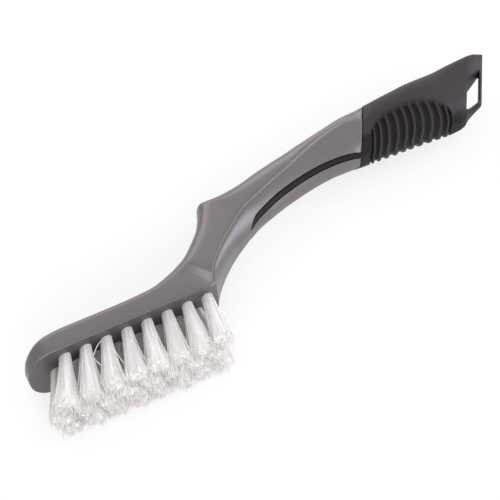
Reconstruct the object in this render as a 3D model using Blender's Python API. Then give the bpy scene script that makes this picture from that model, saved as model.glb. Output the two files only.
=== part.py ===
"""Wheel rim brush lying on its side: moulded handle, ribbed grip, and stapled tufts.

Lengths are in millimetres until a mesh is made. X runs from the tip of the head to the tail,
Y points away from the bristles, and Z is up. The middle plane of the brush is at half the head's width.
The finished objects are moved so that the origin is on the flat side of the head that the brush rests on.
"""

import math
import random
from dataclasses import astuple, dataclass, fields

import bmesh
import bpy
import numpy as np
from mathutils import Matrix, Vector

MM = 0.001

# The width that the brush rests on, at the head and at the grip alike
BODY_WIDTH = 30.0

# Head
HEAD_LENGTH = 90.0
HEAD_WIDTH = BODY_WIDTH
HEAD_THICKNESS = 12.5
HEAD_CROWN = 5.0
FACE_EDGE_RADIUS = 0.8
TIP_ROUNDING = 13.0
TIP_RISE = 21.0
TIP_BLUNTNESS = 2.3
HEEL_WIDTH = 26.8

# Neck, thumb bump and handle, which climbs from the bump to the tail
NECK_WIDTH = 21.7
THUMB_BUMP_HEIGHT = 49.6
HANDLE_CLIMB = 23.3
WAIST_WIDTH = 18.6
SPINE_WIDTH = 14.6

# Grip and tail
GRIP_WIDTH = BODY_WIDTH
GRIP_WALL = 2.6
GRIP_GAP = 0.3
TAIL_WIDTH = 14.4
TAIL_EDGE_WIDTH = 3.2

# Finger grooves
GROOVE_COUNT = 11
GROOVE_DEPTH = 0.9
GROOVE_BOW = 2.0
RIDGE_SHARE = 0.24
GROOVE_WALL_SHARE = 0.10

# Side inlay strips and the tongue on the back
STRIP_DEPTH = 1.3
STRIP_WIDTH = 3.8
STRIP_ABOVE_BELLY = 3.6
STRIP_CLIMB = 2.0
STRIP_CLEARANCE = 0.3
STRIP_PROUD = 0.12
TONGUE_DEPTH = 1.2
TONGUE_SHARE = 0.21

# Hang slot, in the plane of the tail's slanted end
SLOT_LENGTH = 20.0
SLOT_WIDTH = 6.0
SLOT_END_WALL = 1.6
SLOT_FOOT = 0.3
SLOT_SKEW = 1.47

# Tufts
TUFT_PITCH = 9.5
ROW_SPACING = 8.0
FIRST_TUFT = 17.0
HEEL_MARGIN = 6.2
TUFT_DIAMETER = 4.4
TUFT_CLEARANCE = 0.3
HOLE_DEPTH = 8.0
PLUG_STANDOUT = 0.5
BRISTLE_LENGTH = 25.5
BRISTLE_RADIUS = 0.36
TUFT_SPREAD = 2.0
RAKE_AT_TIP = 18.0
RAKE_AT_HEEL = 8.0
ROW_SPLAY = 2.0

# Anchors
ANCHOR_THICKNESS = 0.5
ANCHOR_HEIGHT = 2.0
ANCHOR_LENGTH = 6.2
ANCHOR_FOLD = 0.9
ANCHOR_CLEARANCE = 0.3

MIDDLE = BODY_WIDTH / 2
REST_POINT = Vector((0.5 * HEAD_LENGTH, 0.36 * HEAD_THICKNESS, 0.0))


@dataclass(frozen=True)
class Section:
    """One cross-section of the handle, in the plane through its back and belly points and the Z axis."""

    back_x: float
    back_y: float
    belly_x: float
    belly_y: float
    spine: float
    shoulder: float
    crease: float
    crown: float
    flat: float
    crown_power: float = 2.2
    flank_power: float = 1.5


def head_section(x, width=HEAD_WIDTH, height=HEAD_THICKNESS):
    """An upright slice of the flat-sided head."""
    half = width / 2
    crown = min(HEAD_CROWN, 0.6 * height)
    edge = min(FACE_EDGE_RADIUS, 0.25 * height, 0.5 * half)
    return Section(x, height, x, 0.0, half, half, edge, crown, half - edge, 2.6, 2.0)


def body_section(back, belly, spine, shoulder, crease, crown, flat, crown_power=2.2, flank_power=1.5):
    """A slice behind the head, with its back and belly points measured from the heel."""
    return Section(HEAD_LENGTH + back[0], back[1], HEAD_LENGTH + belly[0], belly[1],
                   spine / 2, shoulder / 2, crease, crown, flat / 2, crown_power, flank_power)


def head_height(x):
    """The thickness of the head, which rises over the tip on a quarter of an ellipse."""
    back = max(1 - x / TIP_RISE, 0.0)
    return HEAD_THICKNESS * (0.3 + 0.7 * (1 - back**2) ** 0.5)


def tip_sections():
    """Slices of the rounded tip, which is a superellipse in plan and in side view."""
    found = []
    for angle in (7, 15, 25, 38, 52, 68):
        along = 1 - math.cos(math.radians(angle))
        share = (1 - (1 - along) ** TIP_BLUNTNESS) ** (1 / TIP_BLUNTNESS)
        x = TIP_ROUNDING * along
        found.append(head_section(x, HEAD_WIDTH * share, head_height(x)))
    return found


def handle_section(back_x, rise, belly_x, belly_start, *shape):
    """A slice behind the thumb bump, lifted by its share of the handle's climb to the tail."""
    climb = rise * HANDLE_CLIMB
    return body_section((back_x, THUMB_BUMP_HEIGHT + climb), (belly_x, belly_start + climb), *shape)


HEEL = body_section((-12.8, 19.9), (-1.1, 0), HEEL_WIDTH - 0.4, HEEL_WIDTH, 2.8, 6.0, 7.0, 2.6, 2.0)
GRIP_FRONT = handle_section(108.4, 0.687, 93.6, 24.2, 25.4, 27.6, 14.8, 10.6, 5.0, 2.2, 1.6)
TAIL_CREASE = handle_section(171.0, 1.0, 149.8, 15.3, TAIL_WIDTH, TAIL_WIDTH, 11.0, 8.0, 3.0, 2.3, 2.2)
LOOP_WIDTH = 0.76 * TAIL_WIDTH + 0.24 * TAIL_EDGE_WIDTH

SECTIONS = tip_sections() + [
    head_section(TIP_ROUNDING, height=head_height(TIP_ROUNDING)),
    head_section(TIP_RISE),
    head_section(0.33 * HEAD_LENGTH),
    head_section(0.5 * HEAD_LENGTH),
    body_section((-29, HEAD_THICKNESS + 0.7), (-27, 0), HEAD_WIDTH, HEAD_WIDTH,
                 FACE_EDGE_RADIUS, HEAD_CROWN, HEAD_WIDTH - 1.6, 2.6, 2.0),
    body_section((-22, HEAD_THICKNESS + 2.5), (-14.5, 0), 0.987 * HEAD_WIDTH, 0.987 * HEAD_WIDTH,
                 FACE_EDGE_RADIUS, HEAD_CROWN, 0.93 * HEAD_WIDTH, 2.6, 2.0),
    body_section((-18.2, HEAD_THICKNESS + 4.3), (-6.2, 0), 0.95 * HEAD_WIDTH, 0.95 * HEAD_WIDTH,
                 1.2, HEAD_CROWN + 0.5, 0.86 * HEAD_WIDTH, 2.6, 2.0),
    body_section((-15.6, 18.2), (-2.9, 0), HEEL_WIDTH + 0.7, HEEL_WIDTH + 0.9, 1.9, 5.7, 18.0, 2.6, 2.0),
    HEEL,
    body_section((-7.2, 23.6), (3.8, 7.4), NECK_WIDTH + 1.8, NECK_WIDTH + 2.7, 3.4, 6.4, 8.4, 2.7, 1.9),
    body_section((-0.8, 29.4), (11.2, 14.8), NECK_WIDTH - 0.3, NECK_WIDTH + 0.9, 4.2, 6.8, 7.4, 2.8, 1.8),
    body_section((5.6, 36.2), (19.0, 20.7), NECK_WIDTH - 1.5, NECK_WIDTH, 5.0, 7.0, 6.0, 2.8, 1.7),
    body_section((10.0, 43.2), (25, 24.0), NECK_WIDTH - 2.3, NECK_WIDTH - 0.6, 6.1, 7.2, 4.8, 2.7),
    handle_section(13.4, -0.017, 30, 27.2, 18.4, 20.5, 7.0, 7.4, 3.8, 2.5),
    handle_section(22.0, 0.013, 35, 28.7, 16.8, 19.8, 7.8, 7.6, 3.0, 2.4),
    handle_section(33.0, 0.094, 42, 29.1, 15.6, 19.0, 8.4, 7.6, 2.6, 2.3),
    handle_section(45.2, 0.245, 50, 28.0, SPINE_WIDTH, WAIST_WIDTH, 9.4, 7.5, 2.4),
    handle_section(58.0, 0.369, 62, 28.0, SPINE_WIDTH, WAIST_WIDTH + 0.6, 10.8, 7.5, 2.4),
    handle_section(70.5, 0.472, 73.5, 27.7, SPINE_WIDTH + 0.8, WAIST_WIDTH + 2.8, 12.8, 7.5, 2.6),
    handle_section(83.5, 0.554, 83, 26.8, 18.4, 24.2, 14.6, 8.4, 3.4),
    handle_section(95.0, 0.627, 89.5, 25.4, 22.4, 26.4, 15.8, 10.0, 4.2),
    GRIP_FRONT,
    handle_section(110.8, 0.700, 98.9, 24.2, 28.4, 28.4, 15.0, 12.2, 6.0, 2.1, 1.7),
    handle_section(129.0, 0.803, 120.8, 21.6, GRIP_WIDTH, GRIP_WIDTH, 14.2, 13.8, 7.0, 2.1, 1.8),
    handle_section(148.2, 0.897, 142.4, 17.1, 22.6, 22.6, 14.2, 13.4, 4.8, 2.1, 1.9),
    handle_section(159.0, 0.953, 146.2, 15.8, 18.6, 18.6, 12.4, 11.0, 4.0, 2.2, 2.0),
    TAIL_CREASE,
    handle_section(174.2, 1.004, 153.6, 17.8, LOOP_WIDTH, LOOP_WIDTH, 8.6, 6.4, 2.6, 2.3, 2.2),
    handle_section(180.3, 0.970, 162.2, 21.8, TAIL_EDGE_WIDTH, TAIL_EDGE_WIDTH, 2.2, 2.4, 1.2, 2.0, 2.0),
]

# Values that turn sharply at a section: the belly at the heel, and everything at the tail's crease
VALUE_NAMES = [field.name for field in fields(Section)]
BELLY_NAMES = ["belly_x", "belly_y", "crease", "flat"]
BREAKS = ((HEEL, BELLY_NAMES), (TAIL_CREASE, VALUE_NAMES))


@dataclass(frozen=True)
class Stations:
    """Places along the handle, counted in sections from the tip."""

    heel: int = SECTIONS.index(HEEL)
    grip: int = SECTIONS.index(GRIP_FRONT)
    tail: int = SECTIONS.index(TAIL_CREASE)
    end: int = len(SECTIONS) - 1

    @property
    def first_groove(self):
        """Where the finger grooves start."""
        return self.grip + 1

    @property
    def last_groove(self):
        """Where the finger grooves end."""
        return self.grip + 3

    @property
    def strip_start(self):
        """The pointed ends of the side strips."""
        return self.heel + 5.2

    @property
    def tongue_start(self):
        """The narrow end of the tongue on the back."""
        return self.grip - 1.9

    @property
    def tang_end(self):
        """The hidden end of the tang inside the grip."""
        return self.last_groove + 0.55


AT = Stations()


def clear_scene():
    """Remove what the default scene holds."""
    for item in list(bpy.data.objects):
        bpy.data.objects.remove(item, do_unlink=True)


def slopes(values):
    """Slopes of a smooth curve through rows of values, which never overshoots, before and after each row."""
    steps = np.diff(values, axis=0)
    smooth = np.zeros_like(values)
    smooth[0], smooth[-1] = steps[0], steps[-1]
    same = steps[:-1] * steps[1:] > 0
    total = np.where(same, steps[:-1] + steps[1:], 1.0)
    smooth[1:-1] = np.where(same, 2 * steps[:-1] * steps[1:] / total, 0.0)
    arriving, leaving = smooth.copy(), smooth.copy()
    for section, names in BREAKS:
        index = SECTIONS.index(section)
        columns = [VALUE_NAMES.index(name) for name in names]
        arriving[index, columns] = steps[index - 1, columns]
        leaving[index, columns] = steps[index, columns]
    return arriving, leaving


VALUES = np.array([astuple(section) for section in SECTIONS])
ARRIVING, LEAVING = slopes(VALUES)


def section_at(place):
    """The section's values at a place along the handle, between the listed ones too."""
    place = min(max(place, 0.0), len(VALUES) - 1.0)
    index = min(int(place + 1e-9), len(VALUES) - 2)
    u = place - index
    first = (2 * u**3 - 3 * u**2 + 1) * VALUES[index] + (u**3 - 2 * u**2 + u) * LEAVING[index]
    second = (3 * u**2 - 2 * u**3) * VALUES[index + 1] + (u**3 - u**2) * ARRIVING[index + 1]
    return Section(*(first + second))


def half_outline(section, crown_steps=6, flank_steps=5):
    """Half of a section from its back point to its belly point, as rows of height and half width."""
    height = math.hypot(section.back_x - section.belly_x, section.back_y - section.belly_y)
    ledge = section.shoulder - section.spine
    rise = 0.5 + 0.9 * ledge
    crown = min(section.crown, height - section.crease - rise - 0.3)
    rows = []
    for step in range(crown_steps + 1):
        angle = 0.5 * math.pi * step / crown_steps
        across = math.sin(angle) ** (2 / section.crown_power)
        up = max(math.cos(angle), 0.0) ** (2 / section.crown_power)
        rows.append((height - crown * (1 - up), section.spine * across))
    rows.append((section.crease + rise, section.spine + 0.04 * ledge))
    rows.append((section.crease + 0.45 * rise, section.spine + 0.72 * ledge))
    for step in range(flank_steps + 1):
        angle = 0.5 * math.pi * step / flank_steps
        out = max(math.cos(angle), 0.0) ** (2 / section.flank_power)
        down = math.sin(angle) ** (2 / section.flank_power)
        rows.append((section.crease * (1 - down), section.flat + (section.shoulder - section.flat) * out))
    rows.append((0.0, 0.0))
    return np.array(rows)


def place_rows(section, rows):
    """Points in space for rows of height and signed half width in a section."""
    belly = np.array([section.belly_x, section.belly_y])
    up = np.array([section.back_x, section.back_y]) - belly
    up /= np.linalg.norm(up)
    flat = belly + rows[:, :1] * up
    return np.column_stack([flat, MIDDLE + rows[:, 1]])


def close_ring(half):
    """A full ring of rows from a half outline, down one side and back up the other."""
    other = half[-2:0:-1] * np.array([1.0, -1.0])
    return np.vstack([half, other])


def inset_rows(ring, depth):
    """A ring of rows moved inward by a depth, measured square to its outline."""
    if not np.any(depth):
        return ring
    ahead = np.roll(ring, -1, axis=0) - ring
    behind = ring - np.roll(ring, 1, axis=0)
    ahead /= np.linalg.norm(ahead, axis=1, keepdims=True)
    behind /= np.linalg.norm(behind, axis=1, keepdims=True)
    along = ahead + behind
    along /= np.linalg.norm(along, axis=1, keepdims=True)
    inward = np.column_stack([-along[:, 1], along[:, 0]])
    if np.sum(inward * (ring.mean(axis=0) - ring)) < 0:
        inward = -inward
    return ring + inward * np.reshape(depth, (-1, 1))


def shrink(section, depth):
    """The section of what lies a depth inside another section."""
    if depth == 0:
        return section
    belly = np.array([section.belly_x, section.belly_y])
    up = np.array([section.back_x, section.back_y]) - belly
    up /= np.linalg.norm(up)
    low = belly + depth * up
    high = belly + up * (math.hypot(section.back_x - belly[0], section.back_y - belly[1]) - depth)
    return Section(high[0], high[1], low[0], low[1], section.spine - depth, section.shoulder - depth,
                   section.crease - depth, section.crown - depth, max(section.flat - depth, 0.3),
                   section.crown_power, section.flank_power)


def ring_at(place, depth=0.0):
    """A full ring of points at a place along the handle, on the skin or a depth inside it."""
    section = shrink(section_at(place), depth)
    return place_rows(section, close_ring(half_outline(section)))


def share_rows(section, shares):
    """Rows on a section's outline at signed shares of the way from its back point to its belly point."""
    half = half_outline(section, 14, 14)
    steps = np.linalg.norm(np.diff(half, axis=0), axis=1)
    along = np.concatenate([[0.0], np.cumsum(steps)])
    wanted = np.abs(shares) * along[-1]
    height = np.interp(wanted, along, half[:, 0])
    across = np.interp(wanted, along, half[:, 1])
    return np.column_stack([height, np.sign(shares) * across])


def new_object(name, mesh, collection, material):
    """A named object around a mesh, with its material, in a collection."""
    item = bpy.data.objects.new(name, mesh)
    collection.objects.link(item)
    mesh.materials.clear()
    mesh.materials.append(material)
    return item


def skin_rings(name, rings, collection, material, smooth=40):
    """A closed solid lofted through rings of points, with a flat cap on the first and the last."""
    form = bmesh.new()
    made = [[form.verts.new(Vector(point) * MM) for point in ring] for ring in rings]
    for lower, upper in zip(made, made[1:]):
        count = len(lower)
        for i in range(count):
            form.faces.new((lower[i], lower[(i + 1) % count], upper[(i + 1) % count], upper[i]))
    form.faces.new(reversed(made[0]))
    form.faces.new(made[-1])
    bmesh.ops.recalc_face_normals(form, faces=form.faces)
    mesh = bpy.data.meshes.new(name)
    form.to_mesh(mesh)
    form.free()
    mesh.shade_smooth()
    mesh.set_sharp_from_angle(angle=math.radians(smooth))
    return new_object(name, mesh, collection, material)


def cut(target, cutter, operation="DIFFERENCE"):
    """Apply an exact Boolean to the target and keep the cutter as a wire guide."""
    step = target.modifiers.new(cutter.name, "BOOLEAN")
    step.operation = operation
    step.solver = "EXACT"
    step.object = cutter
    cutter.hide_render = True
    cutter.display_type = "WIRE"


def make_material(name, colour, roughness, metallic=0.0):
    """A Principled material of a plain colour."""
    material = bpy.data.materials.new(name)
    material.use_nodes = True
    shader = material.node_tree.nodes["Principled BSDF"]
    shader.inputs["Base Color"].default_value = (*colour, 1.0)
    shader.inputs["Roughness"].default_value = roughness
    shader.inputs["Metallic"].default_value = metallic
    material.diffuse_color = (*colour, 1.0)
    return material


def patch_sweep(name, places, edges, depth, proud, columns, collection, material):
    """A strip that lies in the skin: its outer face follows the outline between two edges of share."""
    rings = []
    for place in places:
        section = section_at(place)
        first, last = edges(place)
        shares = np.linspace(first, last, columns)
        surface = share_rows(section, shares)
        along = np.gradient(surface, axis=0)
        along /= np.linalg.norm(along, axis=1, keepdims=True)
        inward = np.column_stack([-along[:, 1], along[:, 0]])
        middle = np.array([0.5 * half_outline(section)[0, 0], 0.0])
        if np.sum(inward * (middle - surface)) < 0:
            inward = -inward
        outer = surface - inward * proud
        inner = surface + inward * depth
        rings.append(place_rows(section, np.vstack([outer, inner[::-1]])))
    return skin_rings(name, rings, collection, material, 30)


def outline_length(section):
    """The length of a section's outline from its back point to its belly point."""
    half = half_outline(section)
    return float(np.sum(np.linalg.norm(np.diff(half, axis=0), axis=1)))


def strip_edges(side, clearance=0.0):
    """The shares of a side strip's edges at a place: full behind, and drawn to a point in front."""

    def edges(place):
        length = outline_length(section_at(place))
        grown = min(max((place - AT.strip_start) / 1.3, 0.0), 1.0)
        width = STRIP_WIDTH * (0.12 + 0.88 * math.sin(0.5 * math.pi * grown) ** 0.8)
        travelled = min(max((place - AT.strip_start) / (AT.grip - AT.strip_start), 0.0), 1.0)
        foot = STRIP_ABOVE_BELLY + STRIP_CLIMB * travelled
        return side * (1 - (foot + width + clearance) / length), side * (1 - (foot - clearance) / length)

    return edges


def tongue_edges(clearance_share=0.0):
    """The shares of the back tongue's edges at a place: wide at the grip, narrow in front."""

    def edges(place):
        grown = min(max((place - AT.tongue_start) / (AT.grip - AT.tongue_start), 0.0), 1.0)
        half = TONGUE_SHARE * (0.16 + 0.84 * grown**0.7) + clearance_share
        return -half, half

    return edges


def handle_places():
    """Places of the core's rings, closer where the handle bends."""
    head = list(np.arange(0, AT.heel, 1.0)) + [AT.heel - 0.5]
    neck = np.arange(AT.heel, AT.heel + 6, 0.5)
    handle = np.linspace(AT.heel + 6, AT.grip, 17)
    return sorted(set(head) | set(neck) | set(handle))


def tang_places():
    """Places of the rings that the tang and its cavity share."""
    return list(np.linspace(AT.grip, AT.tang_end, 9))


def step_place():
    """Where the core steps down to its tang: the grip gap in front of the grip's first section."""
    ahead = section_at(AT.grip - 1)
    span = min(GRIP_FRONT.back_x - ahead.back_x, GRIP_FRONT.belly_x - ahead.belly_x)
    return AT.grip - GRIP_GAP / span


def make_core(pieces, guides, material):
    """The grey moulding: head, neck, handle and the tang inside the grip."""
    rings = [ring_at(place) for place in handle_places()]
    rings[-1] = ring_at(step_place())
    inset = GRIP_WALL + GRIP_GAP
    tang = [ring_at(place, inset) for place in [step_place()] + tang_places()]
    core = skin_rings("handle_core", rings + tang, pieces, material)
    cut(core, make_hole_cutter(guides, material))
    cut(core, make_notch_cutter(guides, material))
    places = np.linspace(AT.strip_start - 0.06, AT.grip + 0.25, 22)
    for side, label in ((1, "near"), (-1, "far")):
        channel = patch_sweep(f"strip_channel_{label}", places, strip_edges(side, STRIP_CLEARANCE),
                              STRIP_DEPTH + GRIP_GAP, 1.0, 3, guides, material)
        cut(core, channel)
    places = np.linspace(AT.tongue_start - 0.05, AT.grip + 0.25, 10)
    seat = patch_sweep("tongue_seat", places, tongue_edges(0.009), TONGUE_DEPTH + GRIP_GAP, 1.0, 7,
                       guides, material)
    cut(core, seat)
    return core


def groove_top_share(progress):
    """Where the finger grooves start below the back, as a share of the outline: an arch."""
    if progress < 0.35:
        return 0.555 + 0.145 * (1 - progress / 0.35) ** 2
    return 0.555 + 0.25 * ((progress - 0.35) / 0.65) ** 3.6


def bow_forward(place, shares, points):
    """Points of a grip ring slid forward along the skin, so that the finger grooves lie as bows."""
    fade = min(place - AT.grip - 0.5, 1.0, (AT.tail - place) / 2)
    if fade <= 0:
        return points
    here = section_at(place)
    ahead = section_at(place - 0.02)
    path = place_rows(ahead, share_rows(ahead, shares)) - place_rows(here, share_rows(here, shares))
    path /= np.linalg.norm(path, axis=1)[:, None]
    reach = np.where(shares < 0.78, 0.235, 0.36)
    lean = np.minimum(((shares - 0.78) / reach) ** 2, 1.0) * np.clip((shares - 0.2) / 0.3, 0, 1)
    path *= (GROOVE_BOW * fade * lean)[:, None]
    other = path[-2:0:-1] * np.array([1.0, 1.0, -1.0])
    return points + np.vstack([path, other])


def grip_ring(place, groove):
    """A ring of the grip's outside, pushed in by the groove depth below the arch."""
    section = section_at(place)
    progress = (place - AT.first_groove) / (AT.last_groove - AT.first_groove)
    top = groove_top_share(min(max(progress, 0.0), 1.0))
    upper = np.linspace(0, top, 8)
    lower = np.linspace(top + 0.018, 1, 9)
    shares = np.concatenate([upper, lower])
    half = share_rows(section, shares)
    ring = close_ring(half)
    depths = np.where(np.concatenate([shares, shares[-2:0:-1]]) > top + 1e-6, groove, 0.0)
    return bow_forward(place, shares, place_rows(section, inset_rows(ring, depths)))


def grip_places():
    """Places and groove depths of the grip's rings: four rings for each finger groove."""
    found = [(AT.grip, 0.0), (AT.grip + 0.5, 0.0)]
    pitch = (AT.last_groove - AT.first_groove) / GROOVE_COUNT
    for index in range(GROOVE_COUNT):
        start = AT.first_groove + index * pitch
        wall = GROOVE_WALL_SHARE * pitch
        found.append((start, 0.0))
        found.append((start + wall, GROOVE_DEPTH))
        found.append((start + (1 - RIDGE_SHARE) * pitch - wall, GROOVE_DEPTH))
        found.append((start + (1 - RIDGE_SHARE) * pitch, 0.0))
    found += [(place, 0.0) for place in np.linspace(AT.last_groove, AT.tail, 6)]
    found += [(AT.tail + 0.5, 0.0), (AT.tail + 1, 0.0), (AT.end, 0.0)]
    return found


def slot_frame():
    """The hang slot's axes: a point on the tail's slanted end, the way up it, and the way in."""
    end = SECTIONS[-1]
    foot = Vector((end.belly_x, end.belly_y, 0.0))
    along = (Vector((end.back_x, end.back_y, 0.0)) - foot).normalized()
    inward = Vector((-along.y, along.x, 0.0))
    return foot, along, inward


def slot_corners():
    """Corners of the slot: a band along the end wall, with ends that follow the belly."""
    foot, along, inward = slot_frame()
    corners = []
    for depth in (SLOT_END_WALL, SLOT_END_WALL + SLOT_WIDTH):
        for rise in (SLOT_FOOT, SLOT_FOOT + SLOT_LENGTH):
            lift = rise - SLOT_SKEW * (depth - SLOT_END_WALL)
            corners.append(foot + along * lift + inward * depth)
    return [corners[0], corners[1], corners[3], corners[2]]


def make_slot_cutter(guides, material):
    """A prism through the tail, with rounded corners."""
    form = bmesh.new()
    reach = HEAD_WIDTH
    ring = [form.verts.new((corner + Vector((0, 0, MIDDLE - reach / 2))) * MM) for corner in slot_corners()]
    face = form.faces.new(ring)
    pushed = bmesh.ops.extrude_face_region(form, geom=[face])
    moved = [item for item in pushed["geom"] if isinstance(item, bmesh.types.BMVert)]
    bmesh.ops.translate(form, verts=moved, vec=Vector((0, 0, reach)) * MM)
    upright = [edge for edge in form.edges if abs(edge.verts[0].co.z - edge.verts[1].co.z) > 0.5 * reach * MM]
    bmesh.ops.bevel(form, geom=upright, offset=1.0 * MM, segments=2, affect="EDGES", profile=0.5)
    bmesh.ops.recalc_face_normals(form, faces=form.faces)
    mesh = bpy.data.meshes.new("hang_slot_cutter")
    form.to_mesh(mesh)
    form.free()
    return new_object("hang_slot_cutter", mesh, guides, material)


def make_grip(pieces, guides, material):
    """The black overmould: ribbed sleeve, inlay strips, tongue and tail with its hang slot."""
    rings = [grip_ring(place, groove) for place, groove in grip_places()]
    grip = skin_rings("grip_overmould", rings, pieces, material, 35)
    places = [AT.grip - 0.6] + tang_places()[:-1] + [AT.tang_end + 0.06]
    cavity = skin_rings("tang_cavity", [ring_at(place, GRIP_WALL) for place in places], guides, material)
    cut(grip, cavity)
    places = np.linspace(AT.strip_start, AT.grip + 0.35, 22)
    for side, label in ((1, "near"), (-1, "far")):
        strip = patch_sweep(f"strip_{label}", places, strip_edges(side), STRIP_DEPTH, STRIP_PROUD, 3,
                            guides, material)
        cut(grip, strip, "UNION")
    places = np.linspace(AT.tongue_start, AT.grip + 0.35, 10)
    tongue = patch_sweep("tongue", places, tongue_edges(), TONGUE_DEPTH, STRIP_PROUD, 7, guides, material)
    cut(grip, tongue, "UNION")
    cut(grip, make_slot_cutter(guides, material))
    return grip


@dataclass(frozen=True)
class TuftSeat:
    """Where one tuft stands: its row's name, number, root on the bristle face, and axis out of the head."""

    row: str
    number: int
    root: Vector
    axis: Vector

    @property
    def turn(self):
        """A rotation whose Z is the tuft's axis and whose Y is close to the world's Z."""
        across = Vector((0, 0, 1))
        side = across.cross(self.axis).normalized()
        return Matrix((side, self.axis.cross(side), self.axis)).transposed()


def tuft_seats():
    """The seats of all tufts: two outer rows and a middle row half a pitch nearer the tip."""
    count = int((HEAD_LENGTH - FIRST_TUFT - HEEL_MARGIN) / TUFT_PITCH + 1e-6) + 1
    found = []
    for row, side, shift in (("near", 1, 0.0), ("middle", 0, -0.5), ("far", -1, 0.0)):
        for index in range(count):
            x = FIRST_TUFT + (index + shift) * TUFT_PITCH
            progress = (x - FIRST_TUFT) / (HEAD_LENGTH - FIRST_TUFT)
            rake = math.radians(RAKE_AT_TIP + (RAKE_AT_HEEL - RAKE_AT_TIP) * progress)
            splay = math.radians(ROW_SPLAY * side)
            axis = Vector((-math.sin(rake), -math.cos(rake), math.sin(splay))).normalized()
            root = Vector((x, 0.0, MIDDLE + side * ROW_SPACING))
            found.append(TuftSeat(row, index + 1, root, axis))
    return found


def seat_matrix(seat, depth=0.0):
    """The matrix from a tuft's own axes to the world, with its origin a depth under the bristle face."""
    place = Matrix.Translation((seat.root - seat.axis * depth) * MM)
    return place @ seat.turn.to_4x4()


def make_hole_cutter(guides, material):
    """One round cutter for each tuft, all in one mesh."""
    form = bmesh.new()
    radius = (TUFT_DIAMETER / 2 + TUFT_CLEARANCE) * MM
    length = HOLE_DEPTH + 3.0
    for seat in tuft_seats():
        middle = Matrix.Translation((0, 0, (length / 2) * MM))
        bmesh.ops.create_cone(form, cap_ends=True, segments=10, radius1=radius, radius2=radius,
                              depth=length * MM, matrix=seat_matrix(seat, HOLE_DEPTH) @ middle)
    mesh = bpy.data.meshes.new("tuft_hole_cutter")
    form.to_mesh(mesh)
    form.free()
    return new_object("tuft_hole_cutter", mesh, guides, material)


def add_block(form, seat, size, low):
    """A block on a tuft's axis, with its lowest face a depth under the bristle face."""
    x, y, z = size
    middle = Matrix.Translation((0, 0, z / 2 * MM))
    scale = Matrix.Diagonal((x * MM, y * MM, z * MM, 1.0))
    bmesh.ops.create_cube(form, size=1.0, matrix=seat_matrix(seat, low) @ middle @ scale)


def make_notch_cutter(guides, material):
    """The notches that the anchors bite into the walls of the tuft holes, all in one mesh."""
    form = bmesh.new()
    gap = 2 * ANCHOR_CLEARANCE
    size = (ANCHOR_THICKNESS + gap, ANCHOR_LENGTH + gap, ANCHOR_HEIGHT + gap)
    for seat in tuft_seats():
        add_block(form, seat, size, HOLE_DEPTH - ANCHOR_FOLD)
    mesh = bpy.data.meshes.new("anchor_notch_cutter")
    form.to_mesh(mesh)
    form.free()
    return new_object("anchor_notch_cutter", mesh, guides, material)


def make_anchor(seat, pieces, material):
    """A short piece of flat wire across the foot of a tuft hole."""
    form = bmesh.new()
    low = HOLE_DEPTH - ANCHOR_FOLD - ANCHOR_CLEARANCE
    add_block(form, seat, (ANCHOR_THICKNESS, ANCHOR_LENGTH, ANCHOR_HEIGHT), low)
    mesh = bpy.data.meshes.new("anchor")
    form.to_mesh(mesh)
    form.free()
    return new_object(f"anchor_{seat.row}_{seat.number}", mesh, pieces, material)


def strand_plan():
    """Where the strands stand across a tuft: one in the middle, five round it and nine outside."""
    reach = 0.95 * TUFT_DIAMETER / 2 - BRISTLE_RADIUS - 0.1
    found = [(0.0, 0.0)]
    for count, radius, turn in ((5, 0.48 * reach, 0.3), (9, reach, 0.0)):
        for index in range(count):
            angle = turn + 2 * math.pi * index / count
            found.append((radius * math.cos(angle), radius * math.sin(angle)))
    return found


def add_strand(form, matrix, foot, spread, lean, length, turn):
    """A three-sided strand that stands straight, then bends outward to its tip."""
    rings = []
    for share, height, radius in ((0.0, -0.6, 1.0), (0.12, 0.33 * length, 1.0), (1.0, length, 0.85)):
        middle = Vector((foot[0], foot[1], 0.0)) * (1 + (spread - 1) * share)
        middle += Vector((lean[0], lean[1], 0.0)) * share * share
        middle.z = height
        ring = []
        for corner in range(3):
            angle = turn + 2 * math.pi * corner / 3
            offset = Vector((math.cos(angle), math.sin(angle), 0.0)) * BRISTLE_RADIUS * radius
            ring.append(form.verts.new(matrix @ ((middle + offset) * MM)))
        rings.append(ring)
    for lower, upper in zip(rings, rings[1:]):
        for i in range(3):
            form.faces.new((lower[i], lower[(i + 1) % 3], upper[(i + 1) % 3], upper[i]))
    form.faces.new(reversed(rings[0]))
    form.faces.new(rings[-1])


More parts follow.
